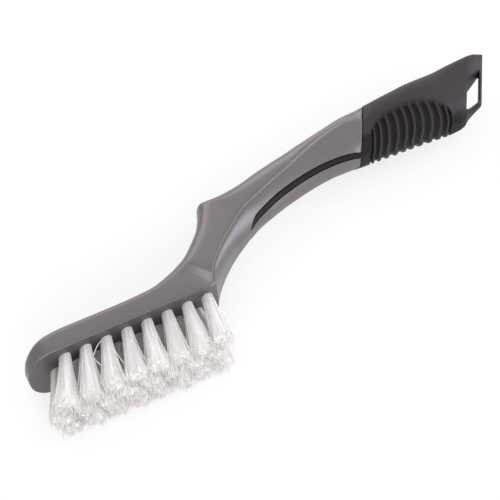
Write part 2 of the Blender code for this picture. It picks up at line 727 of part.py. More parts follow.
def make_tuft(seat, chance, pieces, guides, material):
    """A folded bundle: a plug in its hole, with a tunnel for the anchor, and strands fused to it."""
    form = bmesh.new()
    foot = HOLE_DEPTH - ANCHOR_CLEARANCE
    length = foot + PLUG_STANDOUT
    middle = Matrix.Translation((0, 0, length / 2 * MM))
    bmesh.ops.create_cone(form, cap_ends=True, segments=10, radius1=TUFT_DIAMETER / 2 * MM,
                          radius2=TUFT_DIAMETER / 2 * MM, depth=length * MM,
                          matrix=seat_matrix(seat, foot) @ middle)
    mesh = bpy.data.meshes.new(f"tuft_{seat.row}_{seat.number}")
    form.to_mesh(mesh)
    form.free()
    tuft = new_object(f"tuft_{seat.row}_{seat.number}", mesh, pieces, material)
    form = bmesh.new()
    gap = 2 * ANCHOR_CLEARANCE
    size = (ANCHOR_THICKNESS + gap, TUFT_DIAMETER + 2, ANCHOR_HEIGHT + gap)
    add_block(form, seat, size, HOLE_DEPTH - ANCHOR_FOLD)
    mesh = bpy.data.meshes.new("tunnel")
    form.to_mesh(mesh)
    form.free()
    cut(tuft, new_object(f"tunnel_{seat.row}_{seat.number}", mesh, guides, material))
    form = bmesh.new()
    matrix = seat_matrix(seat, -PLUG_STANDOUT)
    lean = (chance.uniform(-0.5, 0.5), chance.uniform(-0.4, 0.4))
    for foot_xy in strand_plan():
        reach = BRISTLE_LENGTH - PLUG_STANDOUT + chance.uniform(-1.3, 0.4)
        add_strand(form, matrix, foot_xy, TUFT_SPREAD, lean, reach, chance.uniform(0, 2))
    bmesh.ops.recalc_face_normals(form, faces=form.faces)
    mesh = bpy.data.meshes.new("strands")
    form.to_mesh(mesh)
    form.free()
    cut(tuft, new_object(f"strands_{seat.row}_{seat.number}", mesh, guides, material), "UNION")
    return tuft


def main():
    """Build the whole brush."""
    clear_scene()
    pieces = bpy.data.collections.new("wheel_rim_brush")
    guides = bpy.data.collections.new("cutters")
    for collection in (pieces, guides):
        bpy.context.scene.collection.children.link(collection)
    grey = make_material("pewter_grey_plastic", (0.20, 0.18, 0.18), 0.38, 0.35)
    black = make_material("black_soft_rubber", (0.045, 0.038, 0.045), 0.55)
    white = make_material("white_nylon", (0.85, 0.83, 0.81), 0.45)
    steel = make_material("anchor_steel", (0.55, 0.55, 0.54), 0.35, 1.0)
    make_core(pieces, guides, grey)
    make_grip(pieces, guides, black)
    chance = random.Random(7)
    for seat in tuft_seats():
        make_tuft(seat, chance, pieces, guides, white)
        make_anchor(seat, pieces, steel)
    for item in bpy.data.objects:
        item.location = -REST_POINT * MM


main()
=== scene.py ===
"""Looks of a wheel rim brush: satin grey moulding, black soft grip, and white nylon tufts."""

import logging
import math
from dataclasses import astuple, dataclass, fields
from enum import Enum
from functools import partial
from typing import Callable, Iterable, Sequence

import bmesh
import bpy
import numpy as np
from bpy.types import Material, Mesh, Node, NodeSocket, NodeTree, Object
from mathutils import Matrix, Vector
from mathutils.bvhtree import BVHTree


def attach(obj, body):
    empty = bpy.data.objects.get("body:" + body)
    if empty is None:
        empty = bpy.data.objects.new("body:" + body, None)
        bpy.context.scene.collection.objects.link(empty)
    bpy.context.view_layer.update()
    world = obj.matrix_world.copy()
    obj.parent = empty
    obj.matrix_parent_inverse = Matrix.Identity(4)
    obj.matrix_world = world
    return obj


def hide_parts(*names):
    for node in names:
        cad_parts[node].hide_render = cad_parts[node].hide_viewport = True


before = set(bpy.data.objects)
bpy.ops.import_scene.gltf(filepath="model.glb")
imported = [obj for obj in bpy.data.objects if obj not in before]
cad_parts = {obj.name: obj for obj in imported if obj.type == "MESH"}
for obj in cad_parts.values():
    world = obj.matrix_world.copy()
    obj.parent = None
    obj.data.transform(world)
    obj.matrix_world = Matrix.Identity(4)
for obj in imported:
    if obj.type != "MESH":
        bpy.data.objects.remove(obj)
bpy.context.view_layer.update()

logging.basicConfig(level=logging.INFO, format="%(message)s")
log = logging.getLogger("wheel_rim_brush")

# Sizes are in millimetres here, and in metres in the frame.
MM = 0.001
PER_METRE = 1000
# Where the frame's origin lies in the coordinates of the handle's table.
REST_POINT = np.array([45.0, 4.5, 0.0])
# How high the brush's middle plane lies over the floor.
MIDDLE = 15.0
# The turn from one filament to the next, in radians, that fills a round tuft evenly.
GOLDEN_ANGLE = 2.39996
# Edges sharper than this many degrees stay sharp.
SHARP_ANGLE = 38.0
# A step along the handle's table that is short enough to take a direction from.
PROBE = 0.02
# Points that measure the way from one section of the table to the next.
PATH_POINTS = 24
# Less than any real length, against a division by zero.
TINY = 1e-9
WHITE = (1.0, 1.0, 1.0, 1.0)
# The numbers of a Mix node's two colour inputs, and of its colour output.
COLOUR_A, COLOUR_B, MIXED = 6, 7, 2
# The numbers of a Random Value node's lowest and highest value, and of its seed.
LOWEST, HIGHEST, SEED = 2, 3, 8


class Row(Enum):
    """The three rows of tufts, by how they lie towards the viewer."""

    NEAR = ("near", 1.0, 0.0)
    MIDDLE = ("middle", 0.0, -0.5)
    FAR = ("far", -1.0, 0.0)

    @property
    def label(self) -> str:
        """The row's name in the part."""
        return self.value[0]

    @property
    def side(self) -> float:
        """How many row spacings the row stands off the middle plane."""
        return self.value[1]

    @property
    def shift(self) -> float:
        """How many pitches the row is moved along the head."""
        return self.value[2]


class Side(Enum):
    """The two sides of the handle."""

    NEAR = 1
    FAR = -1


class Draw(Enum):
    """What chance decides for each filament: the lowest value, the highest, and what is added to the seed."""

    TURN = (-0.25, 0.25, 11.0)
    SPARE = (-0.9, 0.15, 21.0)
    AIM_X = (-1.0, 1.0, 31.0)
    AIM_Y = (-1.0, 1.0, 41.0)
    AIM_Z = (-1.0, 1.0, 51.0)
    BEND_X = (-1.0, 1.0, 61.0)
    BEND_Y = (-0.4, 0.4, 71.0)
    BEND_Z = (-1.0, 1.0, 81.0)
    TONE = (0.0, 1.0, 91.0)


def clamp(value: float) -> float:
    """A value kept between 0 and 1."""
    return min(max(value, 0.0), 1.0)


def ease(share: float | np.ndarray) -> float | np.ndarray:
    """A share from 0 to 1, or an array of them, that leaves 0 and reaches 1 gently."""
    return share * share * (3 - 2 * share)


def unit(vector: np.ndarray) -> np.ndarray:
    """A vector brought to length one."""
    return vector / np.linalg.norm(vector)


def unit_rows(rows: np.ndarray) -> np.ndarray:
    """Rows of vectors, each brought to length one."""
    return rows / np.maximum(np.linalg.norm(rows, axis=1, keepdims=True), TINY)


def cross_directions(axis: np.ndarray) -> tuple[np.ndarray, np.ndarray]:
    """Two directions of length one, square to an axis of length one and to each other. The first is level."""
    across = unit(np.cross(axis, (0.0, 0.0, 1.0)))
    return across, np.cross(across, axis)


def linear(code: str) -> tuple[float, float, float, float]:
    """Turn an sRGB hex colour into linear light.

    Args:
        code: Six hex digits, with or without a leading mark.

    Returns:
        Red, green, blue and an opacity of one.
    """
    parts = [int(code.lstrip("#")[i:i + 2], 16) / 255 for i in (0, 2, 4)]
    light = [c / 12.92 if c <= 0.04045 else ((c + 0.055) / 1.055) ** 2.4 for c in parts]
    return (*light, 1.0)


def add_node(tree: NodeTree, kind: str, inputs: dict | None = None, **settings: object) -> Node:
    """Add a node with its settings, and set or link its inputs.

    Args:
        tree: The node tree to add to.
        kind: The node's type name.
        inputs: Values, output sockets, or nodes whose first output is meant, by input name or number.
        **settings: Properties of the node.

    Returns:
        The new node.
    """
    node = tree.nodes.new(kind)
    for key, value in settings.items():
        setattr(node, key, value)
    for key, value in (inputs or {}).items():
        source = value.outputs[0] if isinstance(value, Node) else value
        if isinstance(source, NodeSocket):
            tree.links.new(source, node.inputs[key])
        else:
            node.inputs[key].default_value = source
    return node


def start_material(name: str) -> tuple[Material, NodeTree, Node]:
    """Make a material with an empty Principled shader on its output.

    Args:
        name: The material's name.

    Returns:
        The material, its tree, and the shader node.
    """
    material = bpy.data.materials.new(name)
    material.use_nodes = True
    tree = material.node_tree
    tree.nodes.clear()
    shader = add_node(tree, "ShaderNodeBsdfPrincipled")
    add_node(tree, "ShaderNodeOutputMaterial", {"Surface": shader})
    return material, tree, shader


@dataclass(frozen=True)
class Finish:
    """What the finishes have in common: a name, a gloss that varies, and a fine relief, where they have one."""

    name: str
    roughness: float
    less_rough: float = 0.0
    more_rough: float = 0.0
    relief_mm: float = 1.0
    relief_detail: float = 2.0
    relief_depth: float = 0.2
    relief_strength: float = 0.0

    def start(self) -> tuple[Material, NodeTree, Node, NodeSocket]:
        """Start the material. Gives it, its tree, its shader, and the object's own coordinates in metres."""
        material, tree, shader = start_material(self.name)
        return material, tree, shader, add_node(tree, "ShaderNodeTexCoord").outputs["Object"]

    def surface(self, tree: NodeTree, shader: Node, place: NodeSocket, pattern: Node) -> None:
        """Let a pattern vary the gloss, and raise the fine relief.

        Args:
            tree: The material's tree.
            shader: Its Principled shader.
            place: The coordinates that the relief is drawn on.
            pattern: The node whose first output moves the gloss.
        """
        gloss = add_node(tree, "ShaderNodeMapRange", {"Value": pattern,
                                                      "To Min": self.roughness - self.less_rough,
                                                      "To Max": self.roughness + self.more_rough})
        tree.links.new(gloss.outputs["Result"], shader.inputs["Roughness"])
        if self.relief_strength:
            relief = add_node(tree, "ShaderNodeTexNoise", {"Vector": place, "Scale": PER_METRE / self.relief_mm,
                                                           "Detail": self.relief_detail})
            bump = add_node(tree, "ShaderNodeBump", {"Height": relief, "Strength": self.relief_strength,
                                                     "Distance": self.relief_depth * MM})
            tree.links.new(bump.outputs["Normal"], shader.inputs["Normal"])


@dataclass(frozen=True)
class MouldedAbs(Finish):
    """Injection-moulded ABS with a metallic pigment: the grey head, neck and handle."""

    # The eroded mould gives a half-gloss face with a soft, broad highlight. The pigment gives a faint sparkle
    # and slow changes of tone. A painted light makes it darker in the head and lighter from the neck on.
    name: str = "pewter_pigmented_abs"
    light: str = "#736c6c"
    dark: str = "#5d5656"
    metallic: float = 0.45
    ior: float = 1.52
    roughness: float = 0.34
    less_rough: float = 0.05
    more_rough: float = 0.07
    flow_mm: float = 26.0
    flow_detail: float = 3.0
    flow_roughness: float = 0.45
    # The flakes of the pigment are about 0.1 mm wide. They are drawn coarser, so that they show.
    flake_mm: float = 0.45
    dull_flake: float = 0.35
    bright_flake: float = 0.65
    # Where the painted light along the brush starts and ends, and how far it lifts the tone.
    painted_light_from_mm: float = 30.0
    painted_light_to_mm: float = 100.0
    painted_light: float = 0.45
    # The shallow unevenness of a moulded face.
    relief_mm: float = 1.1
    relief_strength: float = 0.05

    def build(self) -> Material:
        """Build the material.

        Returns:
            The finished material.
        """
        material, tree, shader, place = self.start()
        flow = add_node(tree, "ShaderNodeTexNoise", {"Vector": place, "Scale": PER_METRE / self.flow_mm,
                                                     "Detail": self.flow_detail,
                                                     "Roughness": self.flow_roughness})
        flakes = add_node(tree, "ShaderNodeTexVoronoi", {"Vector": place, "Scale": PER_METRE / self.flake_mm})
        spark = add_node(tree, "ShaderNodeMapRange", {"Value": flakes.outputs["Color"],
                                                      "To Min": self.dull_flake, "To Max": self.bright_flake})
        along = add_node(tree, "ShaderNodeSeparateXYZ", {0: place})
        # Painted light: the tone lifts along the brush, from the head towards the neck.
        painted_light = add_node(tree, "ShaderNodeMapRange", {"Value": along, "From Min": self.painted_light_from_mm * MM,
                                                      "From Max": self.painted_light_to_mm * MM, "To Max": self.painted_light})
        share = add_node(tree, "ShaderNodeMath", {0: flow, 1: spark, 2: painted_light}, operation="MULTIPLY_ADD")
        tone = add_node(tree, "ShaderNodeMix", {"Factor": share, COLOUR_A: linear(self.dark),
                                                COLOUR_B: linear(self.light)},
                        data_type="RGBA")
        tree.links.new(tone.outputs[MIXED], shader.inputs["Base Color"])
        shader.inputs["Metallic"].default_value = self.metallic
        shader.inputs["IOR"].default_value = self.ior
        self.surface(tree, shader, place, flow)
        return material


@dataclass(frozen=True)
class SoftRubber(Finish):
    """Overmoulded thermoplastic rubber: the black grip, its tail, and the inlays of the handle."""

    # It swallows light: matt black on the pads, and darker in the grooves by painted shade. Its back and
    # the ridges between the grooves get a painted highlight in brown-black. Two mesh attributes say where.
    name: str = "black_overmoulded_tpe"
    light: str = "#151214"
    dark: str = "#0e0b0e"
    # Painted shade: the colour in the grooves.
    shaded_groove: str = "#050405"
    # Painted highlight: the colour of the grip's back and of the ridges between the grooves.
    satin: str = "#372f32"
    ior: float = 1.50
    specular: float = 0.2
    roughness: float = 0.46
    less_rough: float = 0.06
    more_rough: float = 0.08
    cloud_mm: float = 14.0
    cloud_detail: float = 4.0
    # The grain of the eroded mould is finer than 0.1 mm. It is drawn coarser, so that it shows.
    relief_mm: float = 0.6
    relief_detail: float = 3.0
    relief_strength: float = 0.10

    def build(self) -> Material:
        """Build the material.

        Returns:
            The finished material.
        """
        material, tree, shader, place = self.start()
        cloud = add_node(tree, "ShaderNodeTexNoise", {"Vector": place, "Scale": PER_METRE / self.cloud_mm,
                                                      "Detail": self.cloud_detail})
        tone = add_node(tree, "ShaderNodeMix", {"Factor": cloud, COLOUR_A: linear(self.dark),
                                                COLOUR_B: linear(self.light)},
                        data_type="RGBA").outputs[MIXED]
        # Mix in the painted shade in the grooves and the painted highlight on the back and ridges, by two
        # attributes.
        for mask, colour in (("shaded_groove", self.shaded_groove), ("satin", self.satin)):
            share = add_node(tree, "ShaderNodeAttribute", attribute_name=mask).outputs["Fac"]
            tone = add_node(tree, "ShaderNodeMix", {"Factor": share, COLOUR_A: tone, COLOUR_B: linear(colour)},
                            data_type="RGBA").outputs[MIXED]
        tree.links.new(tone, shader.inputs["Base Color"])
        shader.inputs["IOR"].default_value = self.ior
        shader.inputs["Specular IOR Level"].default_value = self.specular
        self.surface(tree, shader, place, cloud)
        return material


@dataclass(frozen=True)
class NylonFilament(Finish):
    """Drawn nylon filament: the white tufts."""

    # The filament is milky: it scatters light and lets some through, so the tufts glow in their depth. Its tone
    # differs a little from strand to strand, by the attribute "tone" that the tufts' nodes store.
    name: str = "white_drawn_nylon"
    light: str = "#fffcfb"
    dark: str = "#fff9f7"
    ior: float = 1.53
    roughness: float = 0.38
    glow: float = 0.2
    # How far apart the tone changes along a strand. It is drawn coarser than a strand, so that it shows.
    streak_mm: float = 3.0

    def build(self) -> Material:
        """Build the material.

        Returns:
            The finished material.
        """
        material, tree, shader, place = self.start()
        strand = add_node(tree, "ShaderNodeAttribute", attribute_name="tone").outputs["Fac"]
        streak = add_node(tree, "ShaderNodeTexNoise", {"Vector": place, "Scale": PER_METRE / self.streak_mm})
        share = add_node(tree, "ShaderNodeMath", {0: strand, 1: streak}, operation="MULTIPLY")
        tone = add_node(tree, "ShaderNodeMix", {"Factor": share, COLOUR_A: linear(self.light),
                                                COLOUR_B: linear(self.dark)},
                        data_type="RGBA").outputs[MIXED]
        tree.links.new(tone, shader.inputs["Base Color"])
        shader.inputs["Roughness"].default_value = self.roughness
        shader.inputs["IOR"].default_value = self.ior
        through = add_node(tree, "ShaderNodeBsdfTranslucent", {"Color": tone})
        milk = add_node(tree, "ShaderNodeMixShader", {0: self.glow, 1: shader, 2: through})
        tree.links.new(milk.outputs[0], tree.nodes["Material Output"].inputs["Surface"])
        return material


@dataclass(frozen=True)
class DrawnWire(Finish):
    """Drawn flat steel wire: the staples that hold the tufts."""

    # The die leaves it bright, with fine lines that break up its gloss.
    name: str = "drawn_staple_steel"
    colour: str = "#b4b2ae"
    roughness: float = 0.32
    less_rough: float = 0.08
    more_rough: float = 0.1
    # The lines are some hundredths of a millimetre wide. They are drawn coarser, so that they show.
    line_mm: float = 0.3

    def build(self) -> Material:
        """Build the material.

        Returns:
            The finished material.
        """
        material, tree, shader, place = self.start()
        lines = add_node(tree, "ShaderNodeTexNoise", {"Vector": place, "Scale": PER_METRE / self.line_mm})
        shader.inputs["Base Color"].default_value = linear(self.colour)
        shader.inputs["Metallic"].default_value = 1.0
        self.surface(tree, shader, place, lines)
        return material


# How finely a section is drawn: the points on its crown and on its flank, and the steps down its ledge.
CROWN_POINTS = 22
FLANK_POINTS = 20
LEDGE_STEPS = (0.0, 0.12, 0.26, 0.42, 0.6, 0.8)
# The height of the ledge: what it has at least, and its share of how far the ledge steps out.
LEDGE_LEAST = 0.5
LEDGE_SLOPE = 0.9
# The least height of side that stays between the crown and the ledge.
SIDE_LEAST = 0.3


@dataclass(frozen=True)
class Section:
    """One cross-section of the handle, in the plane through its back and belly points and the Z axis.

    The crown is its rounded back. Below it the side drops from the spine's half width and steps out over a
    ledge to the shoulder's half width at the crease. The flank runs in to the flat belly's half width.
    """

    back_x: float
    back_y: float
    belly_x: float
    belly_y: float
    spine: float
    shoulder: float
    crease: float
    crown: float
    flat: float
    crown_power: float = 2.2
    flank_power: float = 1.5

    @property
    def height(self) -> float:
        """The distance from the belly point to the back point."""
        return math.hypot(self.back_x - self.belly_x, self.back_y - self.belly_y)

    def half_outline(self) -> np.ndarray:
        """Half of the section, from its back point to its belly point.

        Returns:
            Rows of height and half width.
        """
        ledge = self.shoulder - self.spine
        rise = LEDGE_LEAST + LEDGE_SLOPE * ledge
        crown = min(self.crown, self.height - self.crease - rise - SIDE_LEAST)
        rows = []
        for angle in np.linspace(0, 0.5 * math.pi, CROWN_POINTS):
            across = math.sin(angle) ** (2 / self.crown_power)
            up = max(math.cos(angle), 0.0) ** (2 / self.crown_power)
            rows.append((self.height - crown * (1 - up), self.spine * across))
        for step in LEDGE_STEPS:
            out = math.sin(0.5 * math.pi * step)
            rows.append((self.crease + rise * (1 - step), self.spine + ledge * out))
        for angle in np.linspace(0, 0.5 * math.pi, FLANK_POINTS):
            out = max(math.cos(angle), 0.0) ** (2 / self.flank_power)
            down = math.sin(angle) ** (2 / self.flank_power)
            rows.append((self.crease * (1 - down), self.flat + (self.shoulder - self.flat) * out))
        rows.append((0.0, 0.0))
        return np.array(rows)

    def outline_length(self) -> float:
        """The length of the outline from its back point to its belly point."""
        return float(np.sum(np.linalg.norm(np.diff(self.half_outline(), axis=0), axis=1)))

    def share_rows(self, shares: np.ndarray) -> np.ndarray:
        """Points on the outline at signed shares of the way from the back point to the belly point.

        Args:
            shares: Shares from -1 to 1, where the sign says which side.

        Returns:
            Rows of height and signed half width.
        """
        half = self.half_outline()
        steps = np.linalg.norm(np.diff(half, axis=0), axis=1)
        along = np.concatenate([[0.0], np.cumsum(steps)])
        wanted = np.abs(shares) * along[-1]
        height = np.interp(wanted, along, half[:, 0])
        across = np.interp(wanted, along, half[:, 1])
        return np.column_stack([height, np.sign(shares) * across])

    def place_rows(self, rows: np.ndarray) -> np.ndarray:
        """Put rows of the section in space.

        Args:
            rows: Rows of height and signed half width.

        Returns:
            Points in millimetres.
        """
        belly = np.array([self.belly_x, self.belly_y])
        up = (np.array([self.back_x, self.back_y]) - belly) / self.height
        return np.column_stack([belly + rows[:, :1] * up, MIDDLE + rows[:, 1]])


@dataclass
class HandleForm:
    """The form that all mouldings share, as a table of sections from the tip of the head to the tail.

    A place in it is a number: the whole part says which section, and the rest how far it is to the next.
    """

    head_length: float = 90.0
    head_width: float = 30.0
    head_thickness: float = 12.5
    head_crown: float = 5.0
    head_powers: tuple[float, float] = (2.6, 2.0)
    edge_radius: float = 0.8
    crown_most: float = 0.6
    edge_most: float = 0.25
    tip_rounding: float = 13.0
    tip_rise: float = 21.0
    tip_low: float = 0.3
    tip_bluntness: float = 2.3
    tip_angles: tuple[int, ...] = (2, 4, 7, 11, 15, 20, 25, 31, 38, 45, 52, 60, 68, 78, 90)
    bump: float = 49.6
    waist: float = 18.6
    spine: float = 14.6
    grip_width: float = 30.0
    tail_width: float = 14.4
    tail_edge: float = 3.2

    def __post_init__(self) -> None:
        """Work out the table, the named places in it, and its slopes."""
        self.sections = self.head_sections() + self.heel_sections() + self.handle_sections()
        self.values = np.array([astuple(section) for section in self.sections])
        # The named places are counted back from the last section.
        self.end_at = len(self.values) - 1
        self.tail_at = self.end_at - 2
        self.grip_at = self.end_at - 7
        self.heel_at = self.grip_at - 13
        self.first_groove_at = self.grip_at + 1
        self.last_groove_at = self.grip_at + 3
        steps = np.diff(self.values, axis=0)
        smooth = np.zeros_like(self.values)
        smooth[0], smooth[-1] = steps[0], steps[-1]
        same = steps[:-1] * steps[1:] > 0
        total = np.where(same, steps[:-1] + steps[1:], 1.0)
        smooth[1:-1] = np.where(same, 2 * steps[:-1] * steps[1:] / total, 0.0)
        self.arriving, self.leaving = smooth.copy(), smooth.copy()
        # The belly has a kink at the heel, and the whole form has one where the tail starts.
        names = [field.name for field in fields(Section)]
        belly = [names.index(name) for name in ("belly_x", "belly_y", "crease", "flat")]
        for index, columns in ((self.heel_at, belly), (self.tail_at, list(range(len(names))))):
            self.arriving[index, columns] = steps[index - 1, columns]
            self.leaving[index, columns] = steps[index, columns]

    def head_section(self, x: float, width: float | None = None, height: float | None = None) -> Section:
        """An upright slice of the flat-sided head.

        Args:
            x: Where it is along the head.
            width: Its width, if it isn't the head's.
            height: Its height, if it isn't the head's.

        Returns:
            The slice.
        """
        width = self.head_width if width is None else width
        height = self.head_thickness if height is None else height
        crown = min(self.head_crown, self.crown_most * height)
        edge = min(self.edge_radius, self.edge_most * height, self.edge_most * width)
        half = width / 2
        return Section(x, height, x, 0.0, half, half, edge, crown, half - edge, *self.head_powers)

    def behind(self, back: tuple[float, float], belly: tuple[float, float], spine: float, shoulder: float,
               crease: float, crown: float, flat: float, crown_power: float = 2.2,
               flank_power: float = 1.5) -> Section:
        """A slice behind the head, given by full widths, with its two end points measured from the heel.

        Args:
            back: The back point.
            belly: The belly point.
            spine: The width under the crown.
            shoulder: The width at the crease.
            crease: The height of the crease over the belly.
            crown: The height of the rounded back.
            flat: The width of the flat belly.
            crown_power: How square the crown is.
            flank_power: How square the flank is.

        Returns:
            The slice.
        """
        start = self.head_length
        return Section(start + back[0], back[1], start + belly[0], belly[1], spine / 2, shoulder / 2,
                       crease, crown, flat / 2, crown_power, flank_power)

    def head_sections(self) -> list[Section]:
        """The sections of the rounded tip and the flat-sided head.

        Returns:
            The sections, in order from the tip.
        """
        found = []
        for angle in self.tip_angles:
            along = 1 - math.cos(math.radians(angle))
            share = (1 - (1 - along) ** self.tip_bluntness) ** (1 / self.tip_bluntness)
            x = self.tip_rounding * along
            rise = self.tip_low + (1 - self.tip_low) * (1 - max(1 - x / self.tip_rise, 0.0) ** 2) ** 0.5
            found.append(self.head_section(x, self.head_width * share, self.head_thickness * rise))
        for x in (self.tip_rise, 0.33 * self.head_length, 0.5 * self.head_length):
            found.append(self.head_section(x))
        return found

    def heel_sections(self) -> list[Section]:
        """The sections of the heel, where the head starts to lean back.

        Returns:
            The sections, in the same order.
        """
        top, wide, edge, crown = self.head_thickness, self.head_width, self.edge_radius, self.head_crown
        table = (
            ((-29, top + 0.7), (-27, 0), wide, wide, edge, crown, wide - 1.6),
            ((-22, top + 2.5), (-14.5, 0), 0.987 * wide, 0.987 * wide, edge, crown, 0.93 * wide),
            ((-18.2, top + 4.3), (-6.2, 0), 0.95 * wide, 0.95 * wide, 1.2, crown + 0.5, 0.86 * wide),
        )
        return [self.behind(*values, *self.head_powers) for values in table]

    def handle_sections(self) -> list[Section]:
        """The sections of the neck, the thumb bump, the handle, the grip and the tail.

        Returns:
            The sections, in the same order.
        """
        bump, waist, spine, grip, tail = self.bump, self.waist, self.spine, self.grip_width, self.tail_width
        tail_end = 0.24 * self.tail_edge + 0.76 * tail
        table = (
            ((-15.6, 18.2), (-2.9, 0), 27.5, 27.7, 1.9, 5.7, 18.0, 2.6, 2.0),
            ((-12.8, 19.9), (-1.1, 0), 26.4, 26.8, 2.8, 6.0, 7.0, 2.6, 2.0),
            ((-7.2, 23.6), (3.8, 7.4), 23.5, 24.4, 3.4, 6.4, 8.4, 2.7, 1.9),
            ((-0.8, 29.4), (11.2, 14.8), 21.4, 22.6, 4.2, 6.8, 7.4, 2.8, 1.8),
            ((5.6, 36.2), (19.0, 20.7), 20.2, 21.7, 5.0, 7.0, 6.0, 2.8, 1.7),
            ((10.0, 43.2), (25, 24.0), 19.4, 21.1, 6.1, 7.2, 4.8, 2.7),
            ((13.4, bump - 0.4), (30, 26.8), 18.4, 20.5, 7.0, 7.4, 3.8, 2.5),
            ((22, bump + 0.3), (35, 29.0), 16.8, 19.8, 7.8, 7.6, 3.0, 2.4),
            ((33, bump + 2.2), (42, 31.3), 15.6, 19.0, 8.4, 7.6, 2.6, 2.3),
            ((45.2, bump + 5.7), (50, 33.7), spine, waist, 9.4, 7.5, 2.4),
            ((58, bump + 8.6), (62, 36.6), spine, waist + 0.6, 10.8, 7.5, 2.4),
            ((70.5, bump + 11.0), (73.5, 38.7), spine + 0.8, waist + 2.8, 12.8, 7.5, 2.6),
            ((83.5, bump + 12.9), (83, 39.7), 18.4, 24.2, 14.6, 8.4, 3.4),
            ((95, bump + 14.6), (89.5, 40.0), 22.4, 26.4, 15.8, 10.0, 4.2),
            ((108.4, 65.6), (93.6, 40.2), 25.4, 27.6, 14.8, 10.6, 5.0, 2.2, 1.6),
            ((110.8, 65.9), (98.9, 40.5), 28.4, 28.4, 15.0, 12.2, 6.0, 2.1, 1.7),
            ((129, 68.3), (120.8, 40.3), grip, grip, 14.2, 13.8, 7.0, 2.1, 1.8),
            ((148.2, 70.5), (142.4, 38.0), 22.6, 22.6, 14.2, 13.4, 4.8, 2.1, 1.9),
            ((159, 71.8), (146.2, 38.0), 18.6, 18.6, 12.4, 11.0, 4.0, 2.2, 2.0),
            ((171.0, 72.9), (149.8, 38.6), tail, tail, 11.0, 8.0, 3.0, 2.3, 2.2),
            ((174.2, 73.0), (153.6, 41.2), tail_end, tail_end, 8.6, 6.4, 2.6, 2.3, 2.2),
            ((180.3, 72.2), (162.2, 44.4), self.tail_edge, self.tail_edge, 2.2, 2.4, 1.2, 2.0, 2.0),
        )
        return [self.behind(*values) for values in table]

    def section_at(self, place: float) -> Section:
        """The section at a place, between the listed ones too.

        Args:
            place: The place along the handle.

        Returns:
            The section, on a smooth curve through the listed ones.
        """
        place = min(max(place, 0.0), float(self.end_at))
        index = min(int(place + TINY), self.end_at - 1)
        u = place - index
        first = (2 * u**3 - 3 * u**2 + 1) * self.values[index] + (u**3 - 2 * u**2 + u) * self.leaving[index]
        second = (3 * u**2 - 2 * u**3) * self.values[index + 1] + (u**3 - u**2) * self.arriving[index + 1]
        return Section(*(first + second))

    def length_between(self, start: float, end: float) -> np.ndarray:
        """Running lengths along the middle line.

        Args:
            start: The first place.
            end: The last place.

        Returns:
            The length from the start to each of a number of evenly spaced places, in millimetres.
        """
        middle = []
        for place in np.linspace(start, end, PATH_POINTS):
            section = self.section_at(place)
            middle.append(((section.back_x + section.belly_x) / 2, (section.back_y + section.belly_y) / 2))
        steps = np.linalg.norm(np.diff(np.array(middle), axis=0), axis=1)
        return np.concatenate([[0.0], np.cumsum(steps)])

    def even_places(self, start: float, end: float, step: float) -> list[float]:
        """Places a given number of millimetres apart along the middle line.

        Args:
            start: The first place.
            end: The last place.
            step: The distance between two places, in millimetres.

        Returns:
            The places, both ends included.
        """
        found: list[float] = [start]
        marks = [start] + [m for m in range(math.floor(start) + 1, math.ceil(end))] + [end]
        for low, high in zip(marks, marks[1:]):
            lengths = self.length_between(low, high)
            count = max(2, round(lengths[-1] / step))
            wanted = np.linspace(0, lengths[-1], count + 1)[1:]
            found += list(np.interp(wanted, lengths, np.linspace(low, high, len(lengths))))
        return found

    def place_after(self, place: float, distance: float) -> float:
        """The place a number of millimetres further on, or nearer the tip where the number is negative."""
        reach = self.length_between(place, place + math.copysign(PROBE, distance))[-1]
        return place + PROBE * distance / max(reach, TINY)


def close_ring(half: np.ndarray) -> np.ndarray:
    """A full ring of rows from a half outline, down one side and back up the other."""
    return np.vstack([half, half[-2:0:-1] * np.array([1.0, -1.0])])


def inward_rows(points: np.ndarray, along: np.ndarray, middle: np.ndarray) -> np.ndarray:
    """The directions square to a plane outline at each of its points, on the side of a point inside it."""
    inward = np.column_stack([-along[:, 1], along[:, 0]])
    return -inward if np.sum(inward * (middle - points)) < 0 else inward


def inset_ring(ring: np.ndarray, depth: np.ndarray | float) -> np.ndarray:
    """A closed ring of rows moved inward by a depth, square to its outline.

    Args:
        ring: Rows of height and signed half width.
        depth: One depth, or one for each row.

    Returns:
        The moved rows.
    """
    if not np.any(depth):
        return ring
    ahead = unit_rows(np.roll(ring, -1, axis=0) - ring)
    behind = unit_rows(ring - np.roll(ring, 1, axis=0))
    inward = inward_rows(ring, unit_rows(ahead + behind), ring.mean(axis=0))
    return ring + inward * np.reshape(depth, (-1, 1))


def add_object(name: str, data: bpy.types.ID) -> Object:
    """Make an object around its data and put it in the scene.

    Args:
        name: The object's name.
        data: Its mesh, light or camera.

    Returns:
        The new object.
    """
    item = bpy.data.objects.new(name, data)
    bpy.context.scene.collection.objects.link(item)
    return item


def shade(mesh: Mesh) -> None:
    """Shade a mesh smooth, and keep its sharp edges."""
    mesh.shade_smooth()
    mesh.set_sharp_from_angle(angle=math.radians(SHARP_ANGLE))


def add_form(name: str, form: bmesh.types.BMesh) -> Object:
    """Turn a form's faces outwards, and put it in the scene as a smooth object.

    Args:
        name: The object's name.
        form: The form, which is freed.

    Returns:
        The new object.
    """
    mesh = bpy.data.meshes.new(name)
    bmesh.ops.recalc_face_normals(form, faces=form.faces)
    form.to_mesh(mesh)
    form.free()
    shade(mesh)
    return add_object(name, mesh)


